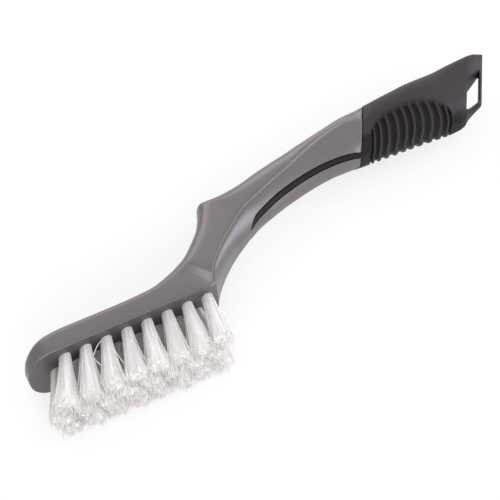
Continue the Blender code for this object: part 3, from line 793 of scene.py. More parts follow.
def loft(name: str, rings: Sequence[np.ndarray], masks: dict[str, list[np.ndarray]] | None = None) -> Object:
    """A closed skin through rings of points in millimetres, with a cap on the first and the last.

    Args:
        name: The object's name.
        rings: Rings with the same number of points.
        masks: Attributes by name: for each ring, one value for each point.

    Returns:
        The new object, in the scene.
    """
    count = len(rings[0])
    points = (np.vstack(rings) - REST_POINT) * MM
    faces = []
    for r in range(len(rings) - 1):
        low, high = r * count, (r + 1) * count
        for i in range(count):
            j = (i + 1) % count
            faces.append((low + i, low + j, high + j, high + i))
    faces.append(tuple(range(count - 1, -1, -1)))
    faces.append(tuple(range(len(points) - count, len(points))))
    draft = bpy.data.meshes.new(name)
    draft.from_pydata([tuple(p) for p in points], [], faces)
    for title, values in (masks or {}).items():
        attribute = draft.attributes.new(title, "FLOAT", "POINT")
        attribute.data.foreach_set("value", np.concatenate(values).astype(np.float32))
    form = bmesh.new()
    form.from_mesh(draft)
    bpy.data.meshes.remove(draft)
    return add_form(name, form)


def carve(target: Object, cutters: Iterable[Object]) -> Object:
    """Cut bodies out of a piece, apply the result, and remove the cutters.

    Args:
        target: The piece to cut.
        cutters: Closed bodies.

    Returns:
        The same piece with its new mesh.
    """
    cutters = list(cutters)
    for cutter in cutters:
        step = target.modifiers.new(cutter.name, "BOOLEAN")
        step.operation = "DIFFERENCE"
        step.solver = "EXACT"
        step.object = cutter
    graph = bpy.context.evaluated_depsgraph_get()
    mesh = bpy.data.meshes.new_from_object(target.evaluated_get(graph))
    target.modifiers.clear()
    old = target.data
    target.data = mesh
    bpy.data.meshes.remove(old)
    for cutter in cutters:
        bpy.data.objects.remove(cutter, do_unlink=True)
    shade(mesh)
    return target


def dress(piece: Object, material: Material, nodes: Sequence[str] = ()) -> None:
    """Give a piece its one material and its body, and hide the part's nodes that it stands for.

    Args:
        piece: The finished piece.
        material: Its material.
        nodes: The names of the nodes it replaces.
    """
    piece.data.materials.clear()
    piece.data.materials.append(material)
    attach(piece, "root")
    if nodes:
        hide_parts(*nodes)
    log.info("%s: %d faces", piece.name, len(piece.data.polygons))


@dataclass
class InlayPatch:
    """A strip of soft rubber that lies in a channel of the handle, between two edges of its outline."""

    form: HandleForm
    depth: float
    columns: int
    clearance: float = 0.22
    proud: float = 0.14
    edge_sink: float = 0.35
    crowning: int = 5
    step: float = 1.0
    past_seam: float = 0.1
    channel_above: float = 1.0
    channel_below: float = 0.25

    def rings(self, places: Sequence[float], edges: Callable[[float, float], tuple[float, float]],
              cutter: bool) -> list[np.ndarray]:
        """Rings of the strip, or of the channel that it lies in.

        Args:
            places: Places along the handle.
            edges: Gives the two edge shares for a place and a clearance in millimetres.
            cutter: True for the channel's cutter.

        Returns:
            One ring of points for each place.
        """
        found = []
        spread = 0.5 - 0.5 * np.cos(np.linspace(0, math.pi, self.columns))
        crowned = 1 - np.abs(2 * spread - 1) ** self.crowning
        raised = (self.proud + self.edge_sink) * crowned - self.edge_sink
        above = self.channel_above if cutter else raised[:, None]
        below = self.depth + (self.channel_below if cutter else 0.0)
        for place in places:
            section = self.form.section_at(place)
            first, last = edges(place, self.clearance if cutter else 0.0)
            surface = section.share_rows(first + (last - first) * spread)
            along = unit_rows(np.gradient(surface, axis=0))
            inward = inward_rows(surface, along, np.array([0.5 * section.height, 0.0]))
            outer, inner = surface - inward * above, surface + inward * below
            found.append(section.place_rows(np.vstack([outer, inner[::-1]])))
        return found

    def build(self, label: str, start: float, ahead: float,
              edges: Callable[[float, float], tuple[float, float]]) -> tuple[Object, Object]:
        """Build the cutter of the channel, and the strip in it.

        Args:
            label: The strip's name.
            start: The place of its front end.
            ahead: How far in front of that the channel starts, in places.
            edges: Gives the two edge shares for a place and a clearance in millimetres.

        Returns:
            The cutter and the strip.
        """
        grip_at = self.form.grip_at
        places = self.form.even_places(start, grip_at, self.step)
        channel = loft(f"{label}_channel", self.rings([start - ahead] + places, edges, True))
        return channel, loft(f"inlay_{label}", self.rings(places + [grip_at + self.past_seam], edges, False))


@dataclass
class Handle:
    """The grey moulding and the black inlays that lie in it."""

    form: HandleForm
    ring_step: float = 0.9
    lip_radius: float = 0.55
    lip_angles: tuple[int, ...] = (22, 45, 67, 90)
    seam_gap: float = 0.3
    strip_width: float = 2.7
    strip_point: float = 0.12
    strip_taper: float = 1.3
    strip_fullness: float = 0.8
    strip_after_heel: float = 4.85
    strip_above_belly: float = 3.1
    strip_climb: float = 2.5
    strip_depth: float = 1.3
    strip_columns: int = 11
    strip_ahead: float = 0.05
    tongue_share: float = 0.21
    tongue_point: float = 0.16
    tongue_fullness: float = 0.7
    tongue_before_grip: float = 1.9
    tongue_depth: float = 1.2
    tongue_columns: int = 31
    tongue_ahead: float = 0.03
    hole_length: float = 9.0
    hole_sunk: float = 2.0
    hole_sides: int = 28

    @property
    def strip_start(self) -> float:
        """The place of the side strips' pointed ends."""
        return self.form.heel_at + self.strip_after_heel

    @property
    def tongue_start(self) -> float:
        """The place of the back tongue's narrow end."""
        return self.form.grip_at - self.tongue_before_grip

    def strip_edges(self, side: Side, place: float, grown: float) -> tuple[float, float]:
        """The edge shares of a side strip: full behind, and drawn to a point in front.

        Args:
            side: The side that it lies on.
            place: The place along the handle.
            grown: How much further out each edge is, in millimetres.

        Returns:
            The shares of the upper and the lower edge.
        """
        length = self.form.section_at(place).outline_length()
        opened = clamp((place - self.strip_start) / self.strip_taper)
        swelled = math.sin(0.5 * math.pi * opened) ** self.strip_fullness
        width = self.strip_width * (self.strip_point + (1 - self.strip_point) * swelled)
        gone = clamp((place - self.strip_start) / (self.form.grip_at - self.strip_start))
        foot = self.strip_above_belly + self.strip_climb * math.sin(math.pi * gone)
        return side.value * (1 - (foot + width + grown) / length), side.value * (1 - (foot - grown) / length)

    def tongue_edges(self, place: float, grown: float) -> tuple[float, float]:
        """The edge shares of the back tongue: wide at the grip, narrow in front.

        Args:
            place: The place along the handle.
            grown: How much further out each edge is, in millimetres.

        Returns:
            The shares of its two edges.
        """
        opened = clamp((place - self.tongue_start) / (self.form.grip_at - self.tongue_start))
        length = self.form.section_at(place).outline_length()
        width = self.tongue_point + (1 - self.tongue_point) * opened**self.tongue_fullness
        half = self.tongue_share * width + grown / length
        return -half, half

    def shell(self) -> Object:
        """The whole grey skin, with a rounded lip where it meets the grip.

        Returns:
            The closed skin, not cut yet.
        """
        form = self.form
        end = form.place_after(form.grip_at, -self.seam_gap)
        turn = form.place_after(form.grip_at, -self.seam_gap - self.lip_radius)
        sections = [form.section_at(place) for place in form.even_places(0.0, turn, self.ring_step)]
        rings = [section.place_rows(close_ring(section.half_outline())) for section in sections]
        for angle in self.lip_angles:
            back = self.lip_radius * (1 - math.sin(math.radians(angle)))
            inset = self.lip_radius * (1 - math.cos(math.radians(angle)))
            section = form.section_at(form.place_after(end, -back))
            rings.append(section.place_rows(inset_ring(close_ring(section.half_outline()), inset)))
        return loft("handle_moulding", rings)

    def tuft_holes(self, tufts: "Tufts") -> Object:
        """The round blind holes of all tufts, as one cutter.

        Args:
            tufts: The tufts that stand in them.

        Returns:
            The cutter.
        """
        form = bmesh.new()
        radius = tufts.hole_radius * MM
        for seat, axis in tufts.all_seats():
            turn = Vector(axis).to_track_quat("Z", "Y").to_matrix().to_4x4()
            turn.translation = (Vector(seat) - Vector(REST_POINT) - Vector(axis) * self.hole_sunk) * MM
            bmesh.ops.create_cone(form, cap_ends=True, segments=self.hole_sides, radius1=radius, radius2=radius,
                                  depth=self.hole_length * MM, matrix=turn)
        return add_form("tuft_holes", form)

    def build(self, tufts: "Tufts", grey: Material, black: Material) -> None:
        """Build the moulding with its channels, and the inlays.

        Args:
            tufts: The tufts, for their holes.
            grey: The moulding's material.
            black: The inlays' material.
        """
        shell = self.shell()
        cutters, inlays = [self.tuft_holes(tufts)], []
        strip = InlayPatch(self.form, self.strip_depth, self.strip_columns)
        tongue = InlayPatch(self.form, self.tongue_depth, self.tongue_columns)
        made = [strip.build(f"strip_{side.name.lower()}", self.strip_start, self.strip_ahead,
                            partial(self.strip_edges, side)) for side in Side]
        made.append(tongue.build("tongue", self.tongue_start, self.tongue_ahead, self.tongue_edges))
        for channel, inlay in made:
            cutters.append(channel)
            inlays.append(inlay)
        carve(shell, cutters)
        dress(shell, grey, ["handle_core"])
        for inlay in inlays:
            dress(inlay, black)


@dataclass
class Grip:
    """The black overmoulded grip with its finger grooves, and the tail with its hang slot."""

    form: HandleForm
    ring_step: float = 0.9
    tail_step: float = 1.0
    side_points: int = 26
    groove_count: int = 11
    groove_depth: float = 1.0
    rings_per_groove: int = 16
    # How strong the painted highlight on the ridges is.
    ridge_highlight_strength: float = 0.66
    ridge_share: float = 0.26
    wall_share: float = 0.16
    # The grooves' upper ends lie on an arch: its top, how far its two ends drop, and where along it the top is.
    arch_top: float = 0.555
    arch_front: float = 0.145
    arch_back: float = 0.25
    arch_at: float = 0.35
    arch_bend: float = 3.6
    # Across that arch, the shares of outline over which the grooves deepen and the painted highlight of the
    # back fades out.
    edge_points: tuple[float, ...] = (-0.010, 0.0, 0.010, 0.020, 0.032)
    edge_share: float = 0.032
    edge_above: float = 0.02
    edge_below: float = 0.045
    highlight_fade_share: float = 0.06
    # The grooves run as bows, furthest back at this share of the outline.
    groove_bow: float = 2.0
    bow_at: float = 0.78
    bow_above: float = 0.235
    bow_below: float = 0.36
    bow_from: float = 0.2
    bow_over: float = 0.3
    bow_behind_seam: float = 0.5
    bow_before_tail: float = 2.0
    front_edge: float = 0.45
    front_angles: tuple[int, ...] = (90, 67, 45, 22)
    end_radius: float = 0.5
    end_flatness: float = 0.8
    end_angles: tuple[int, ...] = (30, 60, 90)
    end_short: float = 1e-3
    crease_width: float = 0.35
    slot_length: float = 20.0
    slot_width: float = 6.0
    slot_end_wall: float = 1.6
    slot_foot: float = 0.3
    slot_skew: float = 1.47
    slot_corner: float = 1.3
    slot_corner_points: int = 7
    slot_corner_gap: float = 0.4
    slot_side_step: float = 2.0
    slot_flare: float = 0.8
    # The rings of the slot's cutter, from outside in: how far out of the outline, and how far under the skin.
    slot_rings: tuple[tuple[float, float], ...] = ((1.2, -3.0), (1.2, -0.6), (0.85, -0.10), (0.4, 0.12),
                                                   (0.12, 0.42), (0.0, 0.9))
    ray_height: float = 60.0
    skin_beyond: float = 1.6

    def arch(self, progress: float) -> float:
        """Where the grooves start below the back.

        Args:
            progress: How far along the grooves, from 0 to 1.

        Returns:
            The share of the outline.
        """
        progress = clamp(progress)
        if progress < self.arch_at:
            return self.arch_top + self.arch_front * (1 - progress / self.arch_at) ** 2
        behind = (progress - self.arch_at) / (1 - self.arch_at)
        return self.arch_top + self.arch_back * behind**self.arch_bend

    def bow(self, place: float, shares: np.ndarray) -> np.ndarray:
        """How far a half ring's points slide forward along the skin, so that the grooves lie as bows.

        Args:
            place: The place along the handle.
            shares: The points' places down the outline, from 0 at the back to 1 at the belly.

        Returns:
            One offset in space for each point.
        """
        form = self.form
        before_tail = (form.tail_at - place) / self.bow_before_tail
        fade = max(0.0, min(place - form.grip_at - self.bow_behind_seam, 1.0, before_tail))
        here, ahead = form.section_at(place), form.section_at(place - PROBE)
        path = unit_rows(ahead.place_rows(ahead.share_rows(shares)) - here.place_rows(here.share_rows(shares)))
        reach = np.where(shares < self.bow_at, self.bow_above, self.bow_below)
        lean = np.minimum(((shares - self.bow_at) / reach) ** 2, 1.0)
        lean = lean * np.clip((shares - self.bow_from) / self.bow_over, 0, 1)
        return path * (self.groove_bow * fade * lean)[:, None]

    def groove_share(self, progress: float) -> float:
        """How deep the skin is along the grooves.

        Args:
            progress: How far along them, from 0 to 1.

        Returns:
            0 on a ridge and 1 in a groove.
        """
        if not 0 < progress < 1:
            return 0.0
        phase = (progress * self.groove_count) % 1.0
        width = 1 - self.ridge_share
        return ease(clamp(min(phase, width - phase) / self.wall_share))

    def ring(self, place: float, inset: float = 0.0) -> tuple[np.ndarray, np.ndarray, np.ndarray]:
        """One ring of the grip's skin.

        Args:
            place: The place along the handle.
            inset: How far the whole ring is moved inward.

        Returns:
            The ring's points, how deep in the grooves each is, and how much painted highlight each gets: on the
            back or on a ridge.
        """
        form = self.form
        section = form.section_at(place)
        progress = (place - form.first_groove_at) / (form.last_groove_at - form.first_groove_at)
        top = self.arch(progress)
        shares = np.concatenate([np.linspace(0, top - self.edge_above, self.side_points),
                                 top + np.array(self.edge_points),
                                 np.linspace(top + self.edge_below, 1, self.side_points)])
        mask = np.clip((shares - top) / self.edge_share, 0, 1)
        deep = self.groove_share(progress)
        # Painted highlight on the ridges between the grooves.
        ridge_highlight = self.ridge_highlight_strength * mask * (1 - deep) * (0 < progress < 1)
        mask = ease(mask) * deep
        full = np.concatenate([mask, mask[-2:0:-1]])
        # Painted highlight on the back, above the grooves.
        back = 1 - np.clip((shares - top + 0.5 * self.highlight_fade_share) / self.highlight_fade_share, 0, 1)
        satin = np.maximum(back, ridge_highlight)
        ring = inset_ring(close_ring(section.share_rows(shares)), inset + self.groove_depth * full)
        path = self.bow(place, shares)
        points = section.place_rows(ring) + np.vstack([path, path[-2:0:-1] * np.array([1.0, 1.0, -1.0])])
        return points, full, np.concatenate([satin, satin[-2:0:-1]])

    def skin(self) -> Object:
        """The whole grip and tail, closed, with a bevelled front edge and a rounded end.

        Returns:
            The closed skin, not cut yet, with its masks as attributes.
        """
        form = self.form
        made = []
        for angle in self.front_angles:
            inset = self.front_edge * (1 - math.cos(math.radians(angle)))
            made.append(self.ring(form.place_after(form.grip_at, inset), inset))
        end, first, last = form.end_at - self.end_short, form.first_groove_at, form.last_groove_at
        start = form.place_after(form.grip_at, self.front_edge)
        places = form.even_places(start, first, self.ring_step)[:-1]
        places += list(np.linspace(first, last, self.groove_count * self.rings_per_groove + 1))
        crease = [form.place_after(form.tail_at, side * self.crease_width) for side in (-1, 1)]
        tail = form.even_places(last, form.tail_at, self.tail_step)[1:-1]
        places += [place for place in tail if place < crease[0]] + crease
        places += form.even_places(form.tail_at, form.place_after(end, -self.end_radius), self.tail_step)[1:]
        made += [self.ring(place) for place in places]
        for angle in self.end_angles:
            back = self.end_radius * (1 - math.sin(math.radians(angle)))
            inset = self.end_flatness * self.end_radius * (1 - math.cos(math.radians(angle)))
            made.append(self.ring(form.place_after(end, -back), inset))
        rings, grooves, painted_highlights = (list(column) for column in zip(*made))
        # The masks of the painted shade and of the painted highlight go on the mesh as attributes.
        return loft("grip_overmoulding", rings, {"shaded_groove": grooves, "satin": painted_highlights})

    def slot_outline(self) -> np.ndarray:
        """The hang slot's outline in plan, with rounded corners, in millimetres.

        Returns:
            Rows of points in plan.
        """
        end = self.form.sections[-1]
        foot = np.array([end.belly_x, end.belly_y])
        along = unit(np.array([end.back_x, end.back_y]) - foot)
        inward = np.array([-along[1], along[0]])
        corners = []
        for depth, rise in ((0.0, 0.0), (0.0, 1.0), (1.0, 1.0), (1.0, 0.0)):
            lift = self.slot_foot + self.slot_length * rise - self.slot_skew * self.slot_width * depth
            corners.append(foot + along * lift + inward * (self.slot_end_wall + self.slot_width * depth))
        points = []
        for i, corner in enumerate(corners):
            far = corners[(i + 1) % 4]
            before, after = unit(corners[i - 1] - corner), unit(far - corner)
            for t in np.linspace(0, 1, self.slot_corner_points):
                a, b = corner + before * self.slot_corner, corner + after * self.slot_corner
                points.append((1 - t) ** 2 * a + 2 * t * (1 - t) * corner + t * t * b)
            length = np.linalg.norm(far - corner)
            near = (self.slot_corner + self.slot_corner_gap) / length
            for t in np.linspace(near, 1 - near, max(2, int(length / self.slot_side_step))):
                points.append(corner + (far - corner) * t)
        return np.array(points)

    def skin_height(self, tree: BVHTree, point: np.ndarray) -> float:
        """How high the skin stands over the middle plane.

        Args:
            tree: The skin's faces.
            point: A point in plan, in millimetres.

        Returns:
            The height, in millimetres.
        """
        x, y = (point - REST_POINT[:2]) * MM
        hit = tree.ray_cast(Vector((x, y, self.ray_height * MM)), Vector((0, 0, -1)))[0]
        return hit.z / MM - MIDDLE if hit else self.skin_beyond

    def slot_cutter(self, skin: Object) -> Object:
        """A cutter that follows the slot's outline and flares where it meets the skin.

        Args:
            skin: The uncut grip, whose surface says where the flare goes.

        Returns:
            The closed cutter.
        """
        tree = BVHTree.FromPolygons([vertex.co for vertex in skin.data.vertices],
                                    [face.vertices for face in skin.data.polygons])
        outline = self.slot_outline()
        ahead = unit_rows(np.roll(outline, -1, axis=0) - np.roll(outline, 1, axis=0))
        outward = -inward_rows(outline, ahead, outline.mean(axis=0))
        rings = []
        for share, sink in self.slot_rings:
            edge = outline + outward * min(share, 1.0) * self.slot_flare
            heights = np.array([self.skin_height(tree, point) for point in edge])
            rings.append(np.column_stack([outline + outward * share * self.slot_flare,
                                          MIDDLE + heights - sink * self.slot_flare]))
        mirrored = [np.column_stack([ring[:, :2], 2 * MIDDLE - ring[:, 2]]) for ring in rings[::-1]]
        return loft("slot_cutter", rings + mirrored)

    def build(self, black: Material) -> None:
        """Build the grip and cut its hang slot.

        Args:
            black: Its material.
        """
        skin = self.skin()
        carve(skin, [self.slot_cutter(skin)])
        dress(skin, black, ["grip_overmould"])


@dataclass
class Tufts:
    """The twenty-four nylon tufts, and the loose strands between them."""

    form: HandleForm
    pitch: float = 9.5
    row_spacing: float = 8.0
    first: float = 17.0
    count: int = 8
    hole_radius: float = 2.5
    root_radius: float = 2.25
    tip_radius: float = 3.5
    tip_width: float = 3.5
    flare: float = 1.8
    flare_power: float = 2.2
    length: float = 26.2
    ragged: float = 4.0
    depth: float = 3.0
    rake_at_tip: float = 20.5
    rake_at_heel: float = 10.5
    middle_rake_less: float = 3.0
    splay: float = 2.0
    filaments: int = 380
    filament_radius: float = 0.14
    filament_points: int = 7
    filament_sides: int = 4
    curl: float = 1.2
    curl_in_aim: float = 0.6
    seed: int = 3
    seed_step: int = 100
    phase_start: float = 2.3
    # The ends of a tuft stand out in clumps: two long and two short sides, and three of each, by their shares.
    clump_two: float = 0.6
    clump_three: float = 0.4
    clump_turn: float = 1.7
    clump_share: float = 0.3
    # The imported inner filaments: their share of the width, how much shorter they are, and how they end.
    heart_share: float = 0.96
    heart_short: float = 1.9
    heart_sides: int = 28
    heart_ridge: float = 0.035
    heart_ridges: int = 7
    heart_ridge_turn: int = 3
    heart_taper: tuple[tuple[float, float], ...] = (
        (-0.1, 1.0), (0.0, 1.0), (0.2, 1.0), (0.4, 1.0), (0.6, 1.0), (0.78, 1.0), (0.88, 0.97), (0.95, 0.88),
        (0.99, 0.72), (1.0, 0.5), (1.0, 0.2))
    # The filaments that have sprung out of their tufts, by their two ends.
    stray_radius: float = 0.16
    stray_sides: int = 6
    stray_points: int = 9
    stray_bow: tuple[float, float] = (0.9, 0.5)
    strays: tuple[tuple[tuple[float, float, float], tuple[float, float, float]], ...] = (
        ((35.0, -0.3, 24.6), (27.4, -6.9, 26.0)), ((26.7, -4.7, 24.6), (28.0, -12.7, 26.0)),
        ((36.6, -4.7, 24.6), (36.9, -16.2, 26.0)), ((83.3, -8.5, 24.8), (86.6, -12.3, 24.2)))

    def seat(self, row: Row, index: int) -> tuple[np.ndarray, np.ndarray]:
        """Where a tuft stands on the bristle face, and its axis out of the head.

        Args:
            row: The tuft's row.
            index: Its number in the row, from 0 at the tip.

        Returns:
            The point, in millimetres, and the axis, of length one.
        """
        x = self.first + (index + row.shift) * self.pitch
        left = 1 - max(x - self.first, 0.0) / (self.form.head_length - self.first)
        rake = self.rake_at_heel + (self.rake_at_tip - self.rake_at_heel) * left * left
        rake = math.radians(rake - (self.middle_rake_less if row is Row.MIDDLE else 0.0))
        axis = np.array([-math.sin(rake), -math.cos(rake), math.sin(math.radians(self.splay * row.side))])
        return np.array([x, 0.0, MIDDLE + row.side * self.row_spacing]), unit(axis)

    def all_seats(self) -> list[tuple[np.ndarray, np.ndarray]]:
        """The seats of every tuft."""
        return [self.seat(row, index) for row in Row for index in range(self.count)]

    def phase(self, row: Row, index: int) -> float:
        """An angle that makes a tuft's long and short sides its own."""
        return GOLDEN_ANGLE * (index + 1) * (self.phase_start + row.side)

    def clump(self, turn: np.ndarray, phase: float) -> np.ndarray:
        """How far the filaments at an angle round a tuft reach past the rest, from -1 to 1."""
        threes = np.sin(3 * turn + self.clump_turn * phase)
        return self.clump_two * np.sin(2 * turn + phase) + self.clump_three * threes

    def seat_mesh(self, row: Row) -> Object:
        """One point for each tuft of a row, with its axis, cross directions and phase as attributes.

        Args:
            row: The row.

        Returns:
            The object that its filaments grow from.
        """
        seats = [self.seat(row, index) for index in range(self.count)]
        mesh = bpy.data.meshes.new(f"tufts_{row.label}")
        mesh.from_pydata([tuple((seat - REST_POINT) * MM) for seat, _ in seats], [], [])
        axes = [axis for _, axis in seats]
        across, third = zip(*(cross_directions(axis) for axis in axes))
        for label, vectors in (("axis", axes), ("across", across), ("third", third)):
            attribute = mesh.attributes.new(label, "FLOAT_VECTOR", "POINT")
            attribute.data.foreach_set("vector", np.array(vectors, np.float32).ravel())
        phases = mesh.attributes.new("phase", "FLOAT", "POINT")
        phases.data.foreach_set("value", [self.phase(row, index) for index in range(self.count)])
        return add_object(f"tufts_{row.label}", mesh)

    def inputs(self) -> dict[str, int | float]:
        """The inputs of the tufts' tree.

        Returns:
            Their values by name, with lengths in metres.
        """
        return {"Filaments": self.filaments, "Root Radius": self.root_radius * MM,
                "Tip Radius": self.tip_radius * MM, "Tip Width": self.tip_width * MM,
                "Flare": self.flare * MM, "Length": self.length * MM,
                "Ragged Length": self.ragged * MM, "Depth": self.depth * MM,
                "Filament Radius": self.filament_radius * MM, "Curl": self.curl * MM, "Seed": self.seed}

    def add_sums(self, tree: NodeTree, known: dict[str | Draw, NodeSocket]) -> None:
        """Add the random numbers, the sums and the directions of one filament to the tree.

        Args:
            tree: The tufts' tree.
            known: The sockets that the sums start from, by name. Each result is added to it by its own name.
        """
        for draw in Draw:
            low, high, salt = draw.value
            seed = add_node(tree, "ShaderNodeMath", {0: known["Seed"], 1: salt}, operation="ADD")
            known[draw] = add_node(tree, "FunctionNodeRandomValue", {LOWEST: low, HIGHEST: high, SEED: seed},
                                   data_type="FLOAT").outputs[1]
        # Each row is a result's name, how it is worked out, and what from.
        for name, operation, *terms in (
            ("counted", "ADD", "index", 0.5),
            ("filled", "DIVIDE", "counted", "Filaments"),
            ("radius", "SQRT", "filled"),
            ("even turn", "MULTIPLY", "index", GOLDEN_ANGLE),
            ("angle", "ADD", "even turn", Draw.TURN),
            ("cosine", "COSINE", "angle"),
            ("sine", "SINE", "angle"),
            ("in row", "MULTIPLY", "radius", "cosine"),
            ("off row", "MULTIPLY", "radius", "sine"),
            ("two turns", "MULTIPLY_ADD", "angle", 2.0, "phase"),
            ("twos", "SINE", "two turns"),
            ("three turns", "MULTIPLY", "angle", 3.0),
            ("own turn", "MULTIPLY", "phase", self.clump_turn),
            ("three own turns", "ADD", "three turns", "own turn"),
            ("threes", "SINE", "three own turns"),
            ("part of twos", "MULTIPLY", "twos", self.clump_two),
            ("part of threes", "MULTIPLY", "threes", self.clump_three),
            ("clump", "ADD", "part of twos", "part of threes"),
            ("part of radius", "MULTIPLY", "radius", self.clump_share),
            ("clump here", "MULTIPLY", "clump", "part of radius"),
            ("spare", "ADD", Draw.SPARE, "clump here"),
            ("spare length", "MULTIPLY", "spare", "Ragged Length"),
            ("free length", "ADD", "Length", "spare length"),
            ("reach", "ADD", "free length", "Depth"),
            ("spread in row", "SUBTRACT", "Tip Radius", "Root Radius"),
            ("spread off row", "SUBTRACT", "Tip Width", "Root Radius"),
            ("curl in aim", "MULTIPLY", "Curl", self.curl_in_aim),
            ("sunk", "MULTIPLY", "Depth", -1.0),
            ("bent", "POWER", "along", self.flare_power),
        ):
            terms = {number: known.get(term, term) for number, term in enumerate(terms)}
            known[name] = add_node(tree, "ShaderNodeMath", terms, operation=operation).outputs[0]
        for name, draws in (("waver", (Draw.AIM_X, Draw.AIM_Y, Draw.AIM_Z)),
                            ("lean", (Draw.BEND_X, Draw.BEND_Y, Draw.BEND_Z))):
            terms = {number: known[draw] for number, draw in enumerate(draws)}
            known[name] = add_node(tree, "ShaderNodeCombineXYZ", terms).outputs[0]
        for name, operation, first, second in (
            ("row part", "SCALE", "across", "in row"),
            ("side part", "SCALE", "third", "off row"),
            ("flat", "ADD", "row part", "side part"),
            ("row fan", "SCALE", "row part", "spread in row"),
            ("side fan", "SCALE", "side part", "spread off row"),
            ("fan", "ADD", "row fan", "side fan"),
            ("straight", "SCALE", "axis", "Length"),
            ("fanned", "ADD", "straight", "fan"),
            ("off aim", "SCALE", "waver", "curl in aim"),
            ("aim", "ADD", "fanned", "off aim"),
            ("in hole", "SCALE", "flat", "Root Radius"),
            ("down hole", "SCALE", "axis", "sunk"),
            ("foot", "ADD", "in hole", "down hole"),
            ("curled", "SCALE", "lean", "Curl"),
            ("flared", "SCALE", "flat", "Flare"),
            ("bend now", "ADD", "curled", "flared"),
            ("sway", "SCALE", "bend", "bent"),
        ):
            terms = {0: known[first], 3 if operation == "SCALE" else 1: known[second]}
            known[name] = add_node(tree, "ShaderNodeVectorMath", terms, operation=operation).outputs[0]

    def tree(self, material: Material) -> NodeTree:
        """Geometry nodes that fill each point with a fanned bundle of curved filaments.

        Args:
            material: The filaments' material.

        Returns:
            The node tree, with its sizes as named inputs.
        """
        tree = bpy.data.node_groups.new("nylon_tufts", "GeometryNodeTree")
        face = tree.interface
        face.new_socket("Geometry", in_out="INPUT", socket_type="NodeSocketGeometry")
        for label, value in self.inputs().items():
            kind = "NodeSocketInt" if isinstance(value, int) else "NodeSocketFloat"
            face.new_socket(label, in_out="INPUT", socket_type=kind).default_value = value
        face.new_socket("Geometry", in_out="OUTPUT", socket_type="NodeSocketGeometry")
        given = add_node(tree, "NodeGroupInput").outputs
        copies = add_node(tree, "GeometryNodeDuplicateElements",
                          {"Geometry": given["Geometry"], "Amount": given["Filaments"]}, domain="POINT")
        known = {label: given[label] for label in self.inputs()}
        known["index"] = copies.outputs["Duplicate Index"]
        known["along"] = add_node(tree, "GeometryNodeSplineParameter").outputs["Factor"]
        for label, kind in (("axis", "FLOAT_VECTOR"), ("across", "FLOAT_VECTOR"), ("third", "FLOAT_VECTOR"),
                            ("bend", "FLOAT_VECTOR"), ("phase", "FLOAT")):
            known[label] = add_node(tree, "GeometryNodeInputNamedAttribute", {"Name": label},
                                    data_type=kind).outputs["Attribute"]
        self.add_sums(tree, known)
        placed = add_node(tree, "GeometryNodeSetPosition",
                          {"Geometry": copies.outputs["Geometry"], "Offset": known["foot"]})
        for label, value, kind in (("bend", "bend now", "FLOAT_VECTOR"), ("tone", Draw.TONE, "FLOAT")):
            placed = add_node(tree, "GeometryNodeStoreNamedAttribute",
                              {"Geometry": placed, "Name": label, "Value": known[value]},
                              data_type=kind, domain="POINT")
        line = add_node(tree, "GeometryNodeCurvePrimitiveLine", {"Start": (0, 0, 0), "End": (0, 0, 1)})
        line = add_node(tree, "GeometryNodeResampleCurve", {"Curve": line, "Count": self.filament_points})
        turned = add_node(tree, "FunctionNodeAlignRotationToVector", {"Vector": known["aim"]}, axis="Z")
        size = add_node(tree, "ShaderNodeCombineXYZ", {0: 1.0, 1: 1.0, 2: known["reach"]})
        planted = add_node(tree, "GeometryNodeInstanceOnPoints",
                           {"Points": placed, "Instance": line, "Rotation": turned, "Scale": size})
        strands = add_node(tree, "GeometryNodeRealizeInstances", {"Geometry": planted})
        curved = add_node(tree, "GeometryNodeSetPosition", {"Geometry": strands, "Offset": known["sway"]})
        profile = add_node(tree, "GeometryNodeCurvePrimitiveCircle",
                           {"Resolution": self.filament_sides, "Radius": given["Filament Radius"]})
        solid = add_node(tree, "GeometryNodeCurveToMesh",
                         {"Curve": curved, "Profile Curve": profile, "Fill Caps": True})
        smooth = add_node(tree, "GeometryNodeSetShadeSmooth", {"Geometry": solid})
        real = add_node(tree, "GeometryNodeRealizeInstances", {"Geometry": smooth})
        coated = add_node(tree, "GeometryNodeSetMaterial", {"Geometry": real, "Material": material})
        add_node(tree, "NodeGroupOutput", {"Geometry": coated})
        return tree

    def heart_rings(self, row: Row, index: int) -> list[np.ndarray]:
        """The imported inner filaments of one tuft, as one milky body with a ragged end.

        Args:
            row: The tuft's row.
            index: Its number in the row.

        Returns:
            The body's rings.
        """
        (seat, axis), phase = self.seat(row, index), self.phase(row, index)
        across, third = cross_directions(axis)
        turn = np.linspace(0, 2 * math.pi, self.heart_sides, endpoint=False)
        along_row, over_row = np.outer(np.cos(turn), across), np.outer(np.sin(turn), third)
        reach = self.length - self.heart_short + self.clump_share * self.ragged * self.clump(turn, phase)
        ridges = 1 + self.heart_ridge * np.sin(self.heart_ridges * turn + self.heart_ridge_turn * phase)
        rings = []
        middle = reach.mean()
        for share, inner in self.heart_taper:
            opened = max(share, 0.0)
            base = self.root_radius + self.flare * opened**self.flare_power
            long = base + (self.tip_radius - self.root_radius) * opened
            wide = base + (self.tip_width - self.root_radius) * opened
            out = self.heart_share * inner * (long * along_row + wide * over_row) * ridges[:, None]
            rings.append(seat + out + np.outer(((reach - middle) * inner + middle) * share, axis))
        return rings

    def stray_rings(self, start: Sequence[float], end: Sequence[float]) -> list[np.ndarray]:
        """One bent filament that has sprung out of its tuft.

        Args:
            start: Its one end, in millimetres.
            end: Its other end.

        Returns:
            Its rings.
        """
        start, end = np.array(start), np.array(end)
        across, third = cross_directions(unit(end - start))
        turn = np.linspace(0, 2 * math.pi, self.stray_sides, endpoint=False)
        flat = self.stray_radius * (np.outer(np.cos(turn), across) + np.outer(np.sin(turn), third))
        bow = self.stray_bow[0] * third + self.stray_bow[1] * across
        return [start + (end - start) * t + bow * 4 * t * (1 - t) + flat
                for t in np.linspace(0, 1, self.stray_points)]

